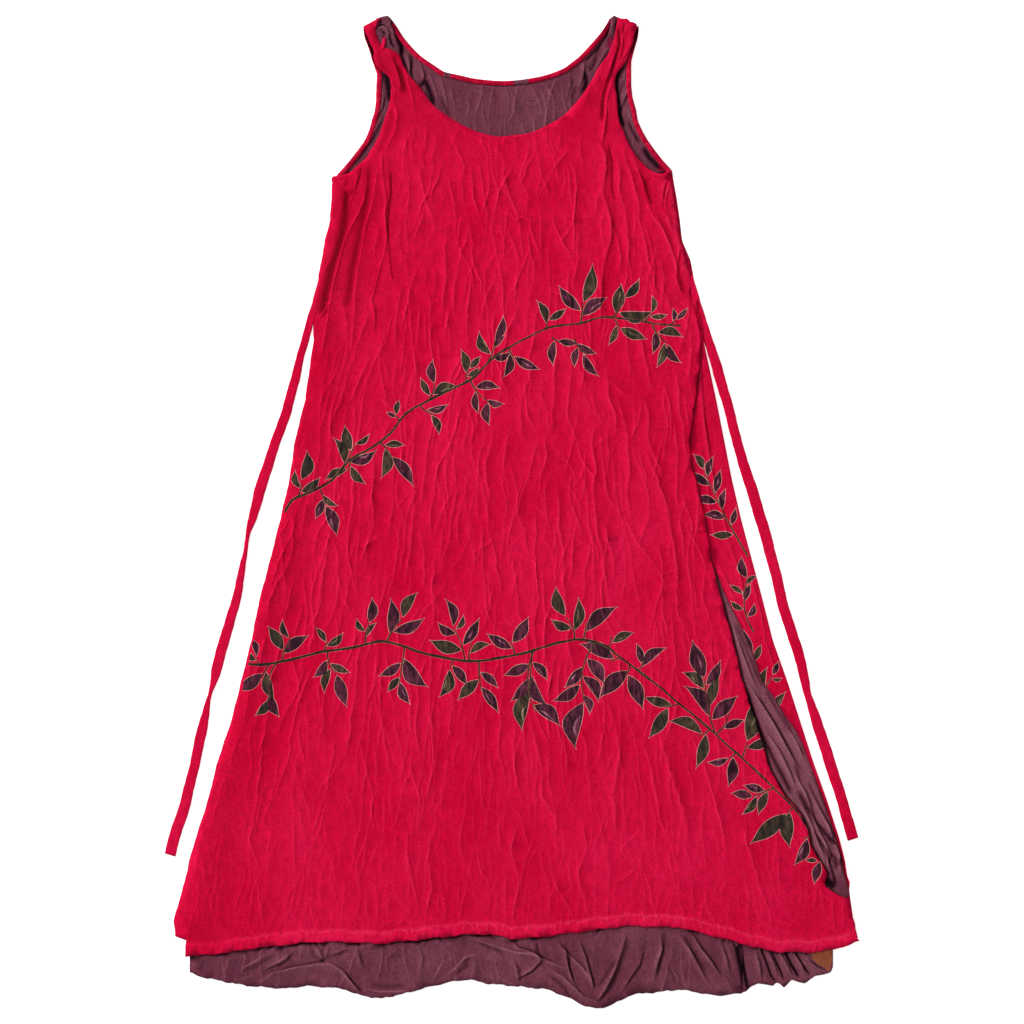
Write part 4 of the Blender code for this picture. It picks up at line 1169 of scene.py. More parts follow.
def cloth(name, loop, place, lines, prints, step_x, step_y, base, turned=0.9, clear=4.5):
    """One panel: the flat pattern triangulated, put in place, with its edge turned under."""
    flat, faces, kinds = triangulate(loop, lines, prints, step_x, step_y, clear)
    placed = place(flat[:, 0], flat[:, 1])
    # The place function's fourth column is the painted light and shade.
    points, painted_light_and_shade = placed[:, :3], placed[:, 3]
    # The rim's edges belong to one triangle only, so that they are used one way round.
    uses = dict.fromkeys(pair for face in faces for pair in zip(face, face[1:] + face[:1]))
    rim = [(a, b) for a, b in uses if (b, a) not in uses]
    used = sorted({i for pair in rim for i in pair})
    x, level = flat[used, 0], flat[used, 1]
    # The cloth's slope at its rim, over a short way to either side.
    way = 0.3
    du = (place(x + way, level) - place(x - way, level))[:, :3]
    dv = (place(x, level - way) - place(x, level + way))[:, :3]
    normal = np.cross(du, dv)
    normal /= np.linalg.norm(normal, axis=1)[:, None]
    under = points[used] - normal * turned
    number = {old: len(points) + i for i, old in enumerate(used)}
    points = np.vstack([points, under])
    painted_light_and_shade = np.concatenate([painted_light_and_shade, painted_light_and_shade[used]])
    flat = np.vstack([flat, flat[used]])
    kinds = [base if kind is None else kind for kind in kinds]
    for a, b in rim:
        faces.append([b, a, number[a], number[b]])
        kinds.append(base)
    names = sorted(set(kinds), key=lambda kind: (kind != base, kind))
    return build_mesh(name, points, faces, kinds, names, flat, painted_light_and_shade)


# Materials.


def colour(red, green, blue):
    """Linear value of an sRGB colour given as 0 to 255."""
    out = []
    for part in (red, green, blue):
        part /= 255.0
        out.append(part / 12.92 if part <= 0.04045 else ((part + 0.055) / 1.055) ** 2.4)
    return (*out, 1.0)


def cloth_material(name, main, dark, light, grain=0.5, streak=0.3, patch=9.0, crest=None, gap=None):
    """Crinkled crepe: blotchy dye, fine vertical crinkle with painted streaks of shade, grain of the yarns
    and a soft sheen; painted highlights, shade and gap shadows.
    """
    # crest is the colour of the painted highlight on crests, gap that of the painted shadow in gaps between
    # folds.
    crest = crest or light
    gap = gap or tuple(0.12 * part for part in dark[:3]) + (1.0,)
    material = bpy.data.materials.new(name)
    material.use_nodes = True
    tree = material.node_tree
    tree.nodes.clear()
    new = tree.nodes.new
    link = tree.links.new
    out = new("ShaderNodeOutputMaterial")
    shader = new("ShaderNodeBsdfPrincipled")
    link(shader.outputs["BSDF"], out.inputs["Surface"])
    shader.inputs["Roughness"].default_value = 0.82
    shader.inputs["Specular IOR Level"].default_value = 0.03
    shader.inputs["Sheen Weight"].default_value = 0.05
    shader.inputs["Sheen Roughness"].default_value = 0.5
    shader.inputs["Sheen Tint"].default_value = light
    place = new("ShaderNodeTexCoord")

    def noise(scale, stretch, detail, rough=0.6):
        mapping = new("ShaderNodeMapping")
        mapping.inputs["Scale"].default_value = stretch
        link(place.outputs["Object"], mapping.inputs["Vector"])
        node = new("ShaderNodeTexNoise")
        node.inputs["Scale"].default_value = scale
        node.inputs["Detail"].default_value = detail
        node.inputs["Roughness"].default_value = rough
        link(mapping.outputs["Vector"], node.inputs["Vector"])
        return node.outputs["Fac"]

    def mix(factor, a, b, blend="MIX"):
        node = new("ShaderNodeMix")
        node.data_type = "RGBA"
        node.blend_type = blend
        sockets = (node.inputs["Factor"], node.inputs[6], node.inputs[7])
        for socket, value in zip(sockets, (factor, a, b)):
            if isinstance(value, (float, tuple)):
                socket.default_value = value
            else:
                link(value, socket)
        return node.outputs[2]

    def spread(value, low, high, start=0.0, end=1.0):
        node = new("ShaderNodeMapRange")
        limits = {"From Min": low, "From Max": high, "To Min": start, "To Max": end}
        for name, limit in limits.items():
            node.inputs[name].default_value = limit
        link(value, node.inputs["Value"])
        return node.outputs["Result"]

    # Scales are for metres: yarn of about 2 mm, crinkle of about 7 mm, drawn out down the dress.
    blotch = noise(patch, (1.0, 0.6, 1.0), 4.0)
    yarn = noise(430.0, (1.0, 0.9, 1.0), 2.0, 0.75)
    crinkle = noise(150.0, (1.0, 0.42, 1.0), 4.0)
    dyed = mix(spread(blotch, 0.35, 0.7), main, light)
    streaked = mix(spread(crinkle, 0.62, 0.38), dyed, dark)
    # The crinkle's painted shade is only a part of the colour.
    soft = mix(streak, dyed, streaked)
    # The mesh's painted light and shade says where to paint a highlight on a crest, shade, or a shadow in a
    # gap between folds.
    painted_light_and_shade = new("ShaderNodeAttribute")
    painted_light_and_shade.attribute_name = "painted_light_and_shade"
    painted_amount = painted_light_and_shade.outputs["Fac"]
    raised = mix(spread(painted_amount, 0.0, 1.1), soft, crest)
    sunk = mix(spread(painted_amount, 0.0, -1.2), raised, dark)
    deep = mix(spread(painted_amount, -0.7, -2.0), sunk, gap)
    woven = mix(grain, deep, spread(yarn, 0.3, 0.7, 0.5, 1.42), "MULTIPLY")
    link(woven, shader.inputs["Base Color"])

    height = new("ShaderNodeMath")
    height.operation = "MULTIPLY_ADD"
    link(crinkle, height.inputs[0])
    height.inputs[1].default_value = 3.0
    link(yarn, height.inputs[2])
    bump = new("ShaderNodeBump")
    bump.inputs["Strength"].default_value = 0.55
    bump.inputs["Distance"].default_value = 0.0004
    link(height.outputs["Value"], bump.inputs["Height"])
    link(bump.outputs["Normal"], shader.inputs["Normal"])
    return material


# Near-black colours of the painted shadows in the gaps between folds.
RED_GAP_SHADOW = colour(34, 2, 12)
PLUM_GAP_SHADOW = colour(16, 4, 10)
# In each cloth, dark is also the painted shade's colour and crest the painted highlight's colour.
MATERIALS = {
    "red": cloth_material("red_crepe", colour(195, 3, 50), colour(146, 0, 28), colour(211, 16, 65),
                          crest=colour(216, 32, 74), gap=RED_GAP_SHADOW),
    "red_hem": cloth_material("red_hem_double", colour(204, 6, 55), colour(158, 0, 34),
                              colour(217, 22, 71), crest=colour(232, 56, 94), gap=RED_GAP_SHADOW),
    # A darker copy of the red, for painted shade on the red cloth in the right armhole's corner and for the
    # stitching thread.
    "red_dark": cloth_material("shaded_red_and_thread_cloth", colour(150, 2, 38), colour(110, 0, 26), colour(180, 10, 50)),
    # The binding's red is darker than the panels' red: painted shade inside the back neck and armholes.
    "red_binding": cloth_material("red_binding", colour(172, 6, 44), colour(104, 0, 26), colour(196, 14, 56),
                                  crest=colour(214, 44, 78), gap=RED_GAP_SHADOW),
    "red_purple": cloth_material("red_purple_turning", colour(118, 18, 52), colour(66, 12, 36),
                                 colour(156, 22, 60), 0.7, 0.9, 80.0),
    "plum": cloth_material("plum_crepe", colour(101, 46, 62), colour(54, 20, 32), colour(120, 64, 79), 0.6,
                           crest=colour(140, 86, 98), gap=PLUM_GAP_SHADOW),
    "leaf_olive": cloth_material("leaf_olive", colour(54, 43, 36), colour(30, 28, 28), colour(92, 76, 56),
                                 0.6, 0.9, 70.0),
    "leaf_plum": cloth_material("leaf_plum", colour(57, 24, 36), colour(32, 19, 26), colour(114, 52, 74),
                                0.6, 0.9, 70.0),
    "leaf_olive_streak": cloth_material("leaf_olive_streak", colour(112, 98, 70), colour(80, 68, 48),
                                        colour(150, 134, 104), 0.6, 0.9, 90.0),
    "leaf_plum_streak": cloth_material("leaf_plum_streak", colour(136, 76, 100), colour(84, 40, 62),
                                       colour(182, 124, 140), 0.6, 0.9, 90.0),
    "print_edge": cloth_material("print_dark_edge", colour(34, 32, 32), colour(22, 22, 26),
                                 colour(46, 48, 40)),
    "print_line": cloth_material("print_pale_line", colour(200, 138, 136), colour(192, 74, 92),
                                 colour(214, 168, 156), patch=60.0),
    "print_stem": cloth_material("print_stem", colour(32, 36, 34), colour(20, 24, 26), colour(58, 54, 40),
                                 patch=60.0),
    "print_gilt": cloth_material("print_gilt", colour(182, 98, 84), colour(176, 50, 60),
                                 colour(196, 138, 110), patch=60.0),
    "rust": cloth_material("rust_inside", colour(128, 64, 42), colour(98, 48, 36), colour(146, 80, 54)),
}

# Outer front.


def body_right(level):
    return back_right(np.minimum(level, 1290))


def front_crinkle():
    """Small creases all over the front, lower towards the hem."""
    rows = []
    made = twigs(11, front_left, body_right, 150, 1284, 9.5, 1.3, FRONT_CREASES + UNDERARM_CREASES)
    for height, soft, steep, path in made:
        # Low on the left two of them would meet in a knot.
        knotted = any(abs(x + 387) < 14 and abs(level - 1110) < 18 for x, level in path)
        if not knotted:
            lower = 1.0 - 0.6 * float(ramp(path[0][1], 900, 1100))
            rows.append((height * lower, soft, steep, path))
    return tuple(rows)


def hem_puckers():
    """The short creases that the hem's stitching draws up."""
    rng = random.Random(5)
    rows = []
    for spot in stations(-446, 470, 11.5):
        spot += rng.uniform(-3, 3)
        lean = rng.uniform(-5, 5)
        tall = rng.uniform(9, 19)
        low = float(outer_hem(spot)) - 2
        path = ((spot + lean, low - tall), (spot, low - tall / 2), (spot, low))
        rows.append((rng.uniform(0.4, 1.1), 4.0, 2.4, path))
    return tuple(rows)


def neck_roll():
    """The neck's turned edge shows as one low crease beside it."""
    points = list(zip(FRONT_NECK["x"], FRONT_NECK["level"]))
    path = [(x + 2.0, level + 2.0) for x, level in points[5:16]]
    path += [(x - 1.0, level + 2.0) for x, level in points[16:26]]
    return ((0.9, 3, 3, tuple(path)),)


ALL_FRONT = (wavered(FRONT_CREASES, 15, 0.9) + STRAP_CREASES + UNDERARM_CREASES + neck_roll()
             + front_crinkle() + hem_puckers())


def settled(x, level, z, relief):
    """Places in the frame's axes, with the creases' shifts, and painted light and shade as the fourth column.
    """
    return np.column_stack([x + relief[:, 1], TOP_Y - level - relief[:, 2], z, relief[:, 3]])


def front_shade(x, level, left, right):
    """The straps, the bodice and the left side are a little darker in the photograph."""
    shade = 0.06 * (1.0 - ramp(level, 330, 520)) + 0.16 * (1.0 - ramp(level, 150, 190))
    shade = shade + 0.14 * (1.0 - ramp(left, 40, 240)) + 0.14 * (1.0 - ramp(level, 90, 150)) * (x < 0)
    shade = shade + 0.34 * (1.0 - ramp(left, 0, 80)) * ramp(level, 225, 300)
    # The border below the right armhole catches the light.
    border = ramp(level, 224, 240) * (1.0 - ramp(level, 350, 372))
    return shade - 0.55 * (1.0 - ramp(right, 2, 30)) * border


def outer_front_place(x, level):
    left = x - front_left(level)
    right = front_right(level) - x
    side = np.minimum(left, right)
    below = outer_hem(x) - level
    z = CLOTH / 2 + 3 * LAYER + top_lift(level)
    # The body lies a little higher away from its sides and hem.
    z = z + 1.6 * ramp(side, 4, 110) * ramp(level, 230, 420) * ramp(below, 4, 90)
    relief = crease_relief(ALL_FRONT, x, level)
    relief *= (0.35 + 0.65 * ramp(side, 0, 8))[:, None]
    lift = relief[:, 0] + swells(x, level, 3, 0.4) * ramp(level, 150, 300)
    floor = -1.0 - 1.6 * ramp(side, 10, 60) * ramp(below, 20, 90)
    z = z + np.maximum(lift, floor)
    # The slit's edge stands a little off the panel below.
    z = z + 2.0 * (1.0 - ramp(right, 0, 22)) * ramp(level, 620, 700) * (1.0 - ramp(level, 1190, 1240))
    # The hem is turned up: two layers, with the stitched edge a small step.
    z = z + 0.7 * (1.0 - ramp(below, 18, 19.6))
    z = z - 0.5 * np.exp(-((below - 18.4) / 1.1) ** 2)
    # A painted highlight along the step at the hem's stitched edge.
    relief[:, 3] += 0.4 * np.exp(-((below - 17.2) / 1.3) ** 2) * (left > 4)
    # Both side seams come down onto the back panel.
    seam = 2 * LAYER * ramp(level, SIDE_SEAM, 300)
    z = z - seam * (1.0 - ramp(left, 0, 16)) * (1.0 - ramp(level, 1240, 1270))
    z = z - 0.55 * seam * (1.0 - ramp(right, 0, 26)) * (1.0 - ramp(level, TIE_SEAM, 440))
    # Cut edges are rolled: they turn down in the last two millimetres.
    z = z - 0.5 * (1.0 - ramp(np.minimum(side, below), 0, 2.2))
    relief[:, 3] -= front_shade(x, level, left, right)
    return settled(x, level, z, relief)


def edge_run(edge, low, high, step, size, seed):
    """Stations down an edge that wavers a little."""
    return [(x + float(wobble(level, size, 41, seed)), level) for x, level in down(edge, low, high, step)]


def build_outer_front():
    left = edge_run(front_left, 15, 214, 6, 0.35, 1.3)
    left += [(-227, 219.5), (-232.4, 221.2), (-238, 223.3), (-243.6, 224.7), (-248.5, 224.2), (-252, 226.5),
             (-252.5, 230.5), (-250, 236.5), (-249.3, 246.5), (-252.5, 256)]
    left += edge_run(front_left, 264, 1300, 6, 0.6, 1.3)
    right = edge_run(front_right, 13, 214, 6, 0.35, 2.1)
    right += [(201, 219.6), (210, 221.5), (218.4, 219), (223, 216.5)]
    right += edge_run(front_right, 226, 1290, 6, 0.6, 2.1)
    hem = along_hem(outer_hem, -457, 486, 6)
    neck = [(-208, 15), (-200, 11), (-191, 6), (-184.5, 3), (-183.5, 8), (-187, 12.5)]
    neck += smooth_path(table_points(FRONT_NECK), 4)
    neck += [(148.5, 2), (152, 4.3), (161, 4.3), (165.5, 8.5), (170, 9.5), (174, 11.5)]
    loop = dense_loop(rounded_loop(left, right, neck, hem), 6.0)
    lines = crease_lines(ALL_FRONT, 6.5)
    for inset in (2.2, 17.2, 18.4, 19.8):
        lines.append(along_hem(outer_hem, -448, 478, 6, -inset))
    for inset in (2.6, 9.0):
        lines.append(down(front_left, 264, 1290, 6, inset))
        lines.append(down(front_left, 40, 206, 6, inset))
        lines.append(down(front_right, 40, 206, 6, -inset))
        lines.append(down(front_right, 232, 1290, 6, -inset))
    prints = vine_print(21, UPPER_VINE, UPPER_SPRIGS, 1.56)
    prints += vine_print(22, LOWER_VINE, LOWER_SPRIGS, 1.58)
    prints.append((1, "red_purple", list(LEFT_TURNING)))
    made = cloth("outer_front_cloth", loop, outer_front_place, lines, prints, 8.5, 12.0, "red")
    hem_band(made)
    return made


def recolour(made, material, wanted):
    """Gives another material to the plain faces whose centre, in millimetres, is wanted."""
    mesh = made.data
    mesh.materials.append(MATERIALS[material])
    number = len(mesh.materials) - 1
    for face in mesh.polygons:
        x, y, _ = face.center / MM
        if face.material_index == 0 and wanted(x, TOP_Y - y):
            face.material_index = number


def hem_band(made):
    """The turned-up hem is two layers thick and reads a little brighter."""
    recolour(made, "red_hem", lambda x, level: float(outer_hem(x)) - level < 17.6)


# Inner front.


INNER_FINE = twigs(31, lambda level: -448.0, lambda level: 322.0, 1284, 1388, 15.0, 0.8, HEM_CREASES)


def inner_front_place(x, level):
    below = level - outer_hem(x)
    edge = inner_hem(x) - level
    relief = crease_relief(HEM_CREASES + INNER_FINE + COIL_CREASES, x, level)
    relief *= np.where(level < 70, 1.0, ramp(below, -4, 8))[:, None]
    z = CLOTH / 2 + 2 * LAYER + top_lift(level)
    # The outer hem's edge presses the panel down.
    z = z - 1.5 * np.exp(-((below / 7.0) ** 2))
    z = z + np.maximum(relief[:, 0], -1.2)
    # The cloth turned over the top of the right strap makes a small roll.
    z = z + 2.4 * np.exp(-(((x - 141.5 + 0.12 * level) / 4.5) ** 2)) * (1.0 - ramp(level, 26, 32))
    z = z - 0.5 * (1.0 - ramp(edge, 0, 2.2))
    # Painted shade just past the outer hem; near the straps' tops the plum is darker and mottled.
    relief[:, 3] -= 1.7 * np.exp(-(((below - 1.5) / 2.2) ** 2)) * (level > 1200)
    relief[:, 3] -= (0.3 + wobble(x + 0.7 * level, 0.1, 9, 1.0)) * (1.0 - ramp(level, 56, 70))
    return settled(x, level, z, relief)


def build_inner_front():
    def left_edge(level):
        edge = front_left(level) + 4.0 + 8.0 * ramp(level, ARMPIT, SIDE_SEAM)
        edge = np.where(level < 40, -190.0, edge)
        return edge - 7.0 * ramp(level, 1240, LOW_BODY)

    def right_edge(level):
        return np.where(level < ARMPIT, front_right(level) - 4.0, inner_right(level))

    left = down(left_edge, 8, 1338, 8)
    right = down(right_edge, 20, 1366, 8)
    hem = along_hem(inner_hem, left[-1][0], right[-1][0], 5)
    neck = [(-190, 4), (-181, 1), (-174, 0), (-170, 3), (-169, 12), (-165, 22), (-164, 31), (-158, 42),
            (-157, 56)]
    for x, level in zip(FRONT_NECK["x"], FRONT_NECK["level"]):
        if -152 < x < 118:
            neck.append((x - 3.0 * (1 if x < 0 else -1), level + 3.5))
    neck += [(124, 80), (134, 60), (137, 50), (133, 42), (134, 30), (137, 14), (138.5, 3), (143, 0), (149, 3)]
    left[0] = neck[0]
    loop = dense_loop(rounded_loop(left, right, neck, hem), 7.0)
    lines = crease_lines(HEM_CREASES + INNER_FINE, 6.0) + crease_lines(COIL_CREASES, 2.0)
    prints = [(1, "red_purple", list(RIGHT_TURNING))]
    return cloth("inner_front_cloth", loop, inner_front_place, lines, prints, 16.0, 20.0, "plum")


# Inner back.

INNER_BACK_FINE = twigs(41, lambda level: -200.0, lambda level: 200.0, 78, 230, 12.0, 1.2, NECK_CREASES)
ALL_INNER_BACK = NECK_CREASES + SLIT_CREASES + PLEAT_CREASES + INNER_BACK_FINE


def inner_back_place(x, level):
    slit_edge = x - front_right(level)
    z = CLOTH / 2 + LAYER + LAYER * ramp(x - inner_right(level), 3, 10) * ramp(level, 440, 700)
    # The slit's edge presses the panel down.
    pressed = ramp(level, 760, 800) * (1.0 - ramp(level, 1200, 1230))
    z = z - 1.2 * np.exp(-((slit_edge / 6.0) ** 2)) * pressed
    # Creases only where the panel shows: inside the neck and armholes, in the slit, at the hem.
    relief = crease_relief(ALL_INNER_BACK, x, level)
    slit = ramp(x, front_right(level) - 3, front_right(level) + 5)
    slit = slit * (1.0 - ramp(x, strip_edge(level) - 5, strip_edge(level)))
    top = level < SIDE_SEAM
    hem = np.where(x > 312, ramp(level, outer_hem(x) - 6, outer_hem(x) + 4), 0.0)
    shown = np.where(top, 1.0, np.where(level > LOW_BODY, hem, slit * (level > SLIT_TOP)))
    relief *= (shown * np.where(top, 0.8, 1.0))[:, None]
    z = z + np.clip(relief[:, 0], -1.0, np.where(top, 2.6, 9.0))
    # Painted shade under the edges of the panels above, and painted light on the plum in the slit.
    under = 1.4 * np.exp(-(((slit_edge - 1.0) / 2.4) ** 2)) * ramp(level, 780, 830) * (level < SLIT_FOOT)
    under = under + 1.2 * np.exp(-(((level - outer_hem(x) - 1.5) / 2.4) ** 2)) * (level > LOW_BODY)
    lit = 0.5 * slit * ramp(level, SLIT_TOP, 800) * (1.0 - ramp(level, 1190, 1216))
    relief[:, 3] -= under - lit
    return settled(x, level, z, relief)


def build_inner_back():
    def left_edge(level):
        low = front_left(level) + 12.0 - 7.0 * ramp(level, 1240, LOW_BODY)
        return np.where(level < ARMPIT, back_left(level) + 3.0, low)

    def right_edge(level):
        seam = front_right(level) - 3.0 - 10.0 * ramp(level, ARMPIT, SIDE_SEAM)
        folded = bend_start(level) - 1.5
        share = ramp(level, 444, 500)
        low = np.minimum(seam * (1.0 - share) + folded * share,
                         449.0 + 26.0 * (1.0 - ramp(level, SLIT_FOOT, 1250)))
        return np.where(level < ARMPIT, back_right(level) - 3.0, low)

    left = [(-204, 18)] + [point for point in down(left_edge, 6, 1334, 8) if point[1] > 22]
    right = [(174, 17)] + [point for point in down(right_edge, 6, 1328, 8) if point[1] > 22]
    hem = along_hem(inner_hem, left[-1][0], 310, 12, -3)
    hem += [(x, float(across(PLEATED_HEM, "x", "level", x))) for x in stations(322, 449, 2.5)]
    neck = [(-196, 14), (-186, 8), (-176, 5)]
    neck += [(x, level + 3) for x, level in zip(BACK_NECK["x"], BACK_NECK["level"])]
    neck += [(148, 7), (160, 9), (166, 12)]
    loop = dense_loop(rounded_loop(left, right, neck, hem), 6.0)
    lines = crease_lines(ALL_INNER_BACK, 5.0)
    lines += [down(inner_right, 446, 1340, 12, inset) for inset in (3, 10)]
    lines += [down(front_right, 790, 1216, 8, inset) for inset in (-3, 1, 5)]
    lines += [down(strip_edge, 790, 1216, 8, inset) for inset in (0, -5)]
    lines += [along_hem(outer_hem, 326, 446, 6, below) for below in (-6, 4)]
    # The armhole corner's red is a darker copy of the red, painted shade.
    prints = [(1, "rust", list(RUST_CORNER)), (1, "red_dark", list(ARMHOLE_CORNER))]
    return cloth("inner_back_cloth", loop, inner_back_place, lines, prints, 15.0, 18.0, "plum")


# Outer back: flat on the floor, wrapped round the right side.

BACK_FINE = twigs(51, back_left, back_right, 110, 1270, 17.0, 0.62)
STRIP_CREASES = (
    (2.6, 9, 3, ((258, 470), (264, 520), (268, 570), (276, 620), (284, 668))),
    (2.0, 7, 3, ((280, 640), (292, 690), (304, 740), (318, 780), (326, 822))),
    (2.2, 7, 2.6, ((296, 560), (300, 600), (308, 650), (320, 700), (330, 740))),
    (1.8, 6, 2.4, ((290, 770), (304, 800), (318, 836), (334, 870))),
    (1.8, 6, 2.4, ((330, 760), (338, 800), (348, 836), (356, 880), (372, 930))),
    (1.6, 6, 2.4, ((262, 600), (272, 640), (276, 690), (286, 740))),
)


def outer_back_place(x, level):
    """Flat up to the fold, half round it, then back over the front."""
    start = bend_start(level)
    past = x - start
    turn = np.clip(past / FOLD_RADIUS, 0.0, math.pi)
    back = np.maximum(past - math.pi * FOLD_RADIUS, 0.0)
    across_x = np.where(past <= 0, x, start + FOLD_RADIUS * np.sin(turn) - back)
    z = CLOTH / 2 + np.where(past <= 0, 0.0, FOLD_RADIUS * (1.0 - np.cos(turn)))
    under = crease_relief(BACK_FINE, x, level)
    z = z + np.where(past <= -4, np.clip(under[:, 0], -0.3, 0.7) - 0.1, 0.0)
    over = crease_relief(STRIP_CREASES, across_x, level) * ramp(back, 0.0, 5.0)[:, None]
    z = z + np.maximum(over[:, 0], -1.0)
    # The back's painted light and shade from its creases, half as strong where it lies flat.
    over[:, 3] = np.where(past <= 0, 0.5 * under[:, 3], over[:, 3])
    return settled(across_x, level, z, over)


def build_outer_back():
    left = edge_run(back_left, 4, 1288, 7, 0.3, 0.6)
    right = down(wrapped_edge, 4, 1290, 6)
    hem = [(left[-1][0], 1289.0)] + along_hem(outer_hem, -440, 470, 9, -14)
    left = [(-208, 16)] + [point for point in left if point[1] > 20]
    right = [(177.5, 14.5)] + [point for point in right if point[1] > 20]
    neck = [(-200, 12), (-191, 7), (-184, 4), (-176, 1.5)] + table_points(BACK_NECK)
    neck += [(148, 3), (160, 5), (166, 9)]
    loop = dense_loop(rounded_loop(left, right, neck, hem), 7.0)
    lines = crease_lines(BACK_FINE, 8.0)
    for share in (0.0, 0.17, 0.33, 0.5, 0.67, 0.83, 1.0):
        lines.append(down(bend_start, 396, 1216, 8, share * math.pi * FOLD_RADIUS))
    lines += [strip_pattern(row) for row in crease_lines(STRIP_CREASES, 6.0)]
    prints = []
    rng = random.Random(58)
    others = []
    for row in STRIP_SPRIGS:
        for layer, material, outline in sprig_print(rng, *row, others):
            prints.append((layer, material, strip_pattern(outline)))
    for number, stem in enumerate(BACK_VINES):
        prints += vine_print(60 + number, stem, auto_sprigs(70 + number, stem, 34, 62), 1.3)
    return cloth("outer_back_cloth", loop, outer_back_place, lines, prints, 11.0, 15.0, "red")


# Bindings on the inside of the back neck and armholes.


def binding_place(x, level):
    """On the inner back, a little rippled, with painted light on the ripples' highs, painted shade near the
    top, and painted shadow where the straps' turnings shade it.
    """
    ripple = wobble(x + level, 0.16, 14, 0.7)
    painted_light_and_shade = 1.6 * ripple - 1.1 * (1.0 - ramp(level, 12, 40))
    for table, key, low in ((back_left, -1, 64), (back_right, 1, 42)):
        inset = key * (table(level) - x)
        painted_light_and_shade = painted_light_and_shade - 2.6 * ramp(inset, 1.2, 2.6) * (1.0 - ramp(level, low, low + 14)) * (inset < 12)
    return np.column_stack([x, TOP_Y - level, CLOTH / 2 + 2 * LAYER + ripple, painted_light_and_shade])


def build_binding(name, edge, width):
    """A strip beside an edge; the sign of its width says on which side."""
    loop = edge + parallel(edge, width)[::-1]
    lines = [parallel(edge, width * share) for share in (0.2, 0.4, 0.6, 0.8)]
    return cloth(name, dense_loop(loop, 4.0), binding_place, lines, [], 5.0, 5.0, "red_binding", clear=2.0)


def build_bindings():
    edge = smooth_path([point for point in table_points(BACK_NECK) if -172 < point[0] < 138], 4)
    neck = build_binding("back_neck_binding_cloth", edge, -6.6)
    # Two short stretches of the neck's binding show plum cloth.
    recolour(neck, "plum", lambda x, level: -95 < x < -86 or 3 < x < 24)
    left = build_binding("armhole_binding_left_cloth", down(back_left, 18, 222, 5, 0.2), 7.0)
    right = build_binding("armhole_binding_right_cloth", down(back_right, 18, 222, 5, -0.2), -7.0)
    return neck, left, right


# Ties: a folded strip with one sewn edge; where it twists it is pinched.


def build_tie(name, rows, outward):
    """The tie's mesh and its length; its sewn edge is on the outward side."""
    levels, middles, widths = (list(column) for column in zip(*rows))
    top = levels[0]
    fine = stations(top, levels[-1], 3.0)
    centre = np.interp(fine, levels, middles)
    width = np.interp(fine, levels, widths)
    for line in (centre, width):
        for _ in range(3):
            line[1:-1] = (line[:-2] + 2 * line[1:-1] + line[2:]) / 4
    centre = centre + wobble(fine, 0.25, 60, outward)
    around = 14
    points, faces = [], []
    for i, level in enumerate(fine):
        a, b = max(i - 1, 0), min(i + 1, len(fine) - 1)
        dx, dy = centre[b] - centre[a], -(fine[b] - fine[a])
        length = math.hypot(dx, dy)
        nx, ny = -dy / length, dx / length
        half = width[i] / 2
        pinch = max(0.0, 1.0 - width[i] / TIE_WIDTH)
        tall = 1.9 + 3.4 * pinch
        sewn_in = 1.0 - float(ramp(level, top + 8, top + 60))
        for k in range(around):
            angle = 2 * math.pi * k / around
            c, s = math.cos(angle), math.sin(angle)
            u = math.copysign(abs(c) ** 0.45, c)
            v = math.copysign(abs(s) ** 0.8, s)
            ripple = 0.35 * math.sin(level / 7.0 + 2.0 * u) * (1 - abs(u))
            ripple += 0.5 * pinch * math.sin(level / 3.1)
            groove = -0.5 * math.exp(-((u * half - outward * (half - 2.6)) / 0.7) ** 2)
            z = 0.9 * sewn_in + (tall / 2 + v * tall / 2) * (1.0 - 0.5 * sewn_in)
            z += (ripple + groove) * (v > 0.3)
            points.append((centre[i] + nx * u * half, TOP_Y - level + ny * u * half, max(z, 0.0)))
    for i in range(len(fine) - 1):
        for k in range(around):
            a, b = i * around + k, i * around + (k + 1) % around
            faces.append([a, b, b + around, a + around])
    last = (len(fine) - 1) * around
    faces.append(list(range(around))[::-1])
    faces.append([last + k for k in range(around)])
    volume = sum(np.dot(np.cross(points[f[0]], points[f[1]]), points[f[2]]) for f in faces[:-2])
    if volume < 0:
        faces = [face[::-1] for face in faces]
    line = list(zip(centre, fine))
    length = sum(math.dist(a, b) for a, b in zip(line, line[1:]))
    return build_mesh(name, points, faces, ["red"] * len(faces), ["red"]), length


# A small red tongue of cloth that sticks out of the plum fold on the left strap.


def build_tongue():
    shares = (-1.0, -0.5, 0.0, 0.5, 1.0)
    rows = 9
    points, faces = [], []
    for i in range(rows):
        t = i / (rows - 1)
        half = max(3.4 * math.sin(math.pi * (0.12 + 0.76 * t)) * (1.0 - 0.25 * t), 0.5)
        for share in shares:
            z = 6.6 + 1.6 * (1.0 - share * share)
            points.append((-180.6 + 2.6 * t + share * half, TOP_Y - (47 - 17 * t), z))
    width = len(shares)
    for i in range(rows - 1):
        for k in range(width - 1):
            a = i * width + k
            faces.append([a, a + 1, a + width + 1, a + width])
    return build_mesh("strap_tongue", points, faces, ["red"] * len(faces), ["red"])


# Stitches along the hem.


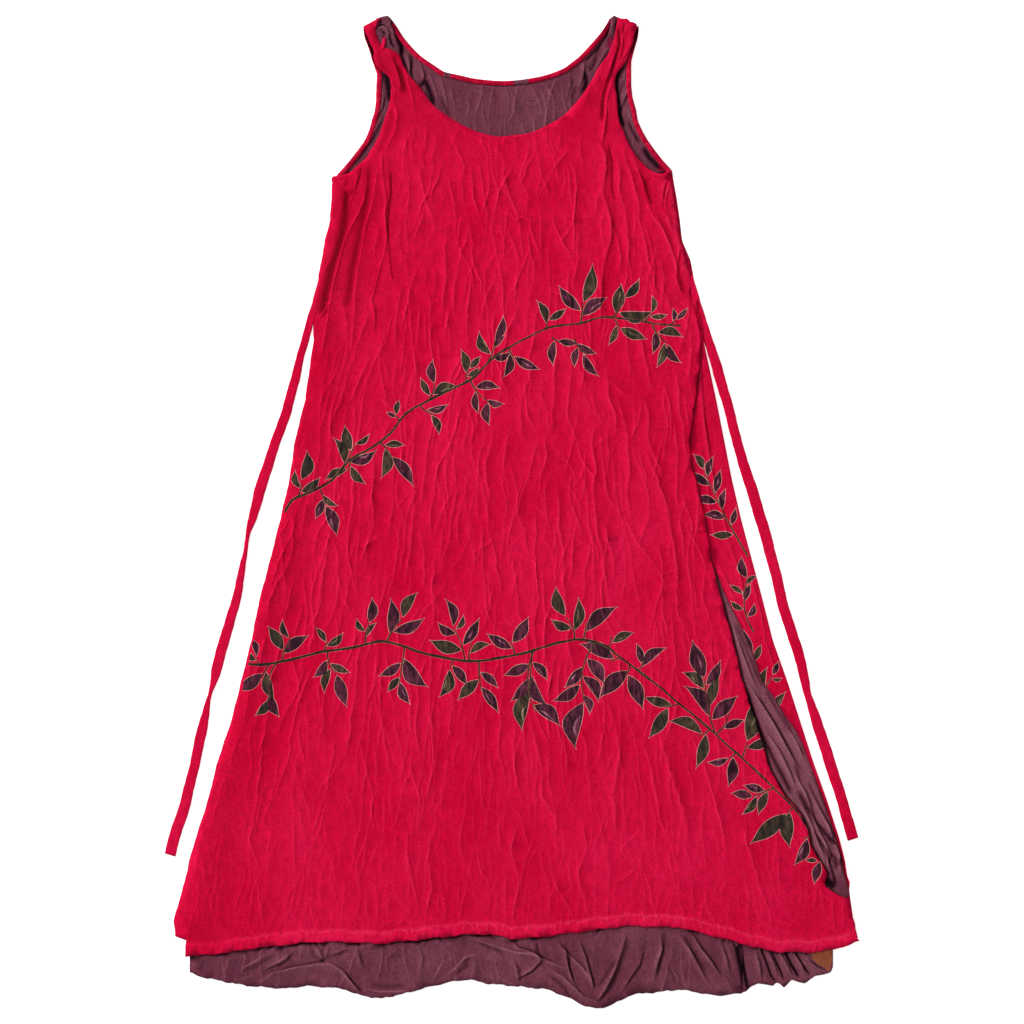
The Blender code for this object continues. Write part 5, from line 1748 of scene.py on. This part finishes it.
def build_stitches(name, path, place, gap, material):
    """Short thread stitches, each a small strip that arches over the cloth."""
    points, faces = [], []
    spots = []
    travelled = 0.0
    for a, b in zip(path, path[1:]):
        length = math.dist(a, b)
        while travelled < length:
            t = travelled / length
            spots.append((a[0] + (b[0] - a[0]) * t, a[1] + (b[1] - a[1]) * t,
                          (b[0] - a[0]) / length, (b[1] - a[1]) / length))
            travelled += gap
        travelled -= length
    x, level, way_x, way_level = np.array(spots).T
    half = 1.15
    starts = place(x - way_x * half, level - way_level * half)[:, :3]
    ends = place(x + way_x * half, level + way_level * half)[:, :3]
    up = np.array((0.0, 0.0, 0.42))
    for start, end in zip(starts, ends):
        run = end - start
        side = np.cross(run, (0.0, 0.0, 1.0))
        side = side / (np.linalg.norm(side) or 1.0) * 0.28
        first = len(points)
        for at, tall in ((0.0, 0.0), (0.25, 1.0), (0.75, 1.0), (1.0, 0.0)):
            spot = start + run * at + up * tall
            points += [tuple(spot - side), tuple(spot + side)]
        for i in range(3):
            a = first + 2 * i
            faces.append([a, a + 2, a + 3, a + 1])
    return build_mesh(name, points, faces, [material] * len(faces), [material])


outer_back = build_outer_back()
inner_back = build_inner_back()
inner_front = build_inner_front()
outer_front = build_outer_front()
neck_binding, left_binding, right_binding = build_bindings()
left_tie, left_length = build_tie("tie_left_cloth", LEFT_TIE, -1)
right_tie, right_length = build_tie("tie_right_cloth", RIGHT_TIE, 1)
tongue = build_tongue()

hem_stitch = along_hem(outer_hem, -450, 478, 4, -17.4)
stitches = build_stitches("stitching_red", hem_stitch, outer_front_place, 3.4, "red_dark")

for piece, node, slot in (
    (outer_back, "outer_back", "red_cloth"),
    (inner_back, "inner_back", "plum_cloth"),
    (inner_front, "inner_front", "plum_cloth"),
    (outer_front, "outer_front", "red_cloth"),
    (neck_binding, "back_neck_binding", "red_cloth"),
    (left_binding, "armhole_binding_left", "red_cloth"),
    (right_binding, "armhole_binding_right", "red_cloth"),
    (left_tie, "tie_left", "red_cloth"),
    (right_tie, "tie_right", "red_cloth"),
):
    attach(piece, "root")
    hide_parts(node)
for piece in (tongue, stitches):
    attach(piece, "root")

# Floor, lights and camera.


def build_floor():
    mesh = bpy.data.meshes.new("floor")
    half = 9.0
    corners = ((-1, -1), (1, -1), (1, 1), (-1, 1))
    mesh.from_pydata([(half * x, half * y, -0.0002) for x, y in corners], [], [[0, 1, 2, 3]])
    made = bpy.data.objects.new("floor", mesh)
    bpy.context.scene.collection.objects.link(made)
    material = bpy.data.materials.new("pale_floor")
    material.use_nodes = True
    shader = material.node_tree.nodes["Principled BSDF"]
    shader.inputs["Base Color"].default_value = (0.9, 0.9, 0.9, 1.0)
    shader.inputs["Roughness"].default_value = 0.9
    shader.inputs["Specular IOR Level"].default_value = 0.1
    shader.inputs["Emission Color"].default_value = (1.0, 1.0, 1.0, 1.0)
    shader.inputs["Emission Strength"].default_value = 0.62
    mesh.materials.append(material)


def area_light(name, place, aim, size, power):
    data = bpy.data.lights.new(name, "AREA")
    data.shape = "SQUARE"
    data.size = size
    data.energy = power
    lamp = bpy.data.objects.new(name, data)
    lamp.location = place
    way = np.subtract(aim, place)
    lamp.rotation_euler = Vector(way).to_track_quat("-Z", "Y").to_euler()
    bpy.context.scene.collection.objects.link(lamp)


build_floor()
area_light("key", (-6.8, 4.6, 5.2), (0, 0, 0), 2.4, 1125)
area_light("fill", (5.2, -2.8, 6.8), (0, 0, 0), 5.0, 60)

world = bpy.data.worlds.new("studio")
world.use_nodes = True
world.node_tree.nodes["Background"].inputs["Color"].default_value = (1.0, 1.0, 1.0, 1.0)
world.node_tree.nodes["Background"].inputs["Strength"].default_value = 0.45
bpy.context.scene.world = world
bpy.context.scene.view_settings.view_transform = "Standard"
bpy.context.scene.view_settings.look = "None"

lens = bpy.data.cameras.new("camera")
lens.lens = 100.0
lens.sensor_width = 36.0
camera = bpy.data.objects.new("camera", lens)
# From this height the lens takes in 1.434 m of the floor, 1.4 mm a pixel.
camera.location = (0.0, 0.0, 3.982)
camera.rotation_euler = (0.0, 0.0, 0.0)
bpy.context.scene.collection.objects.link(camera)
bpy.context.scene.camera = camera
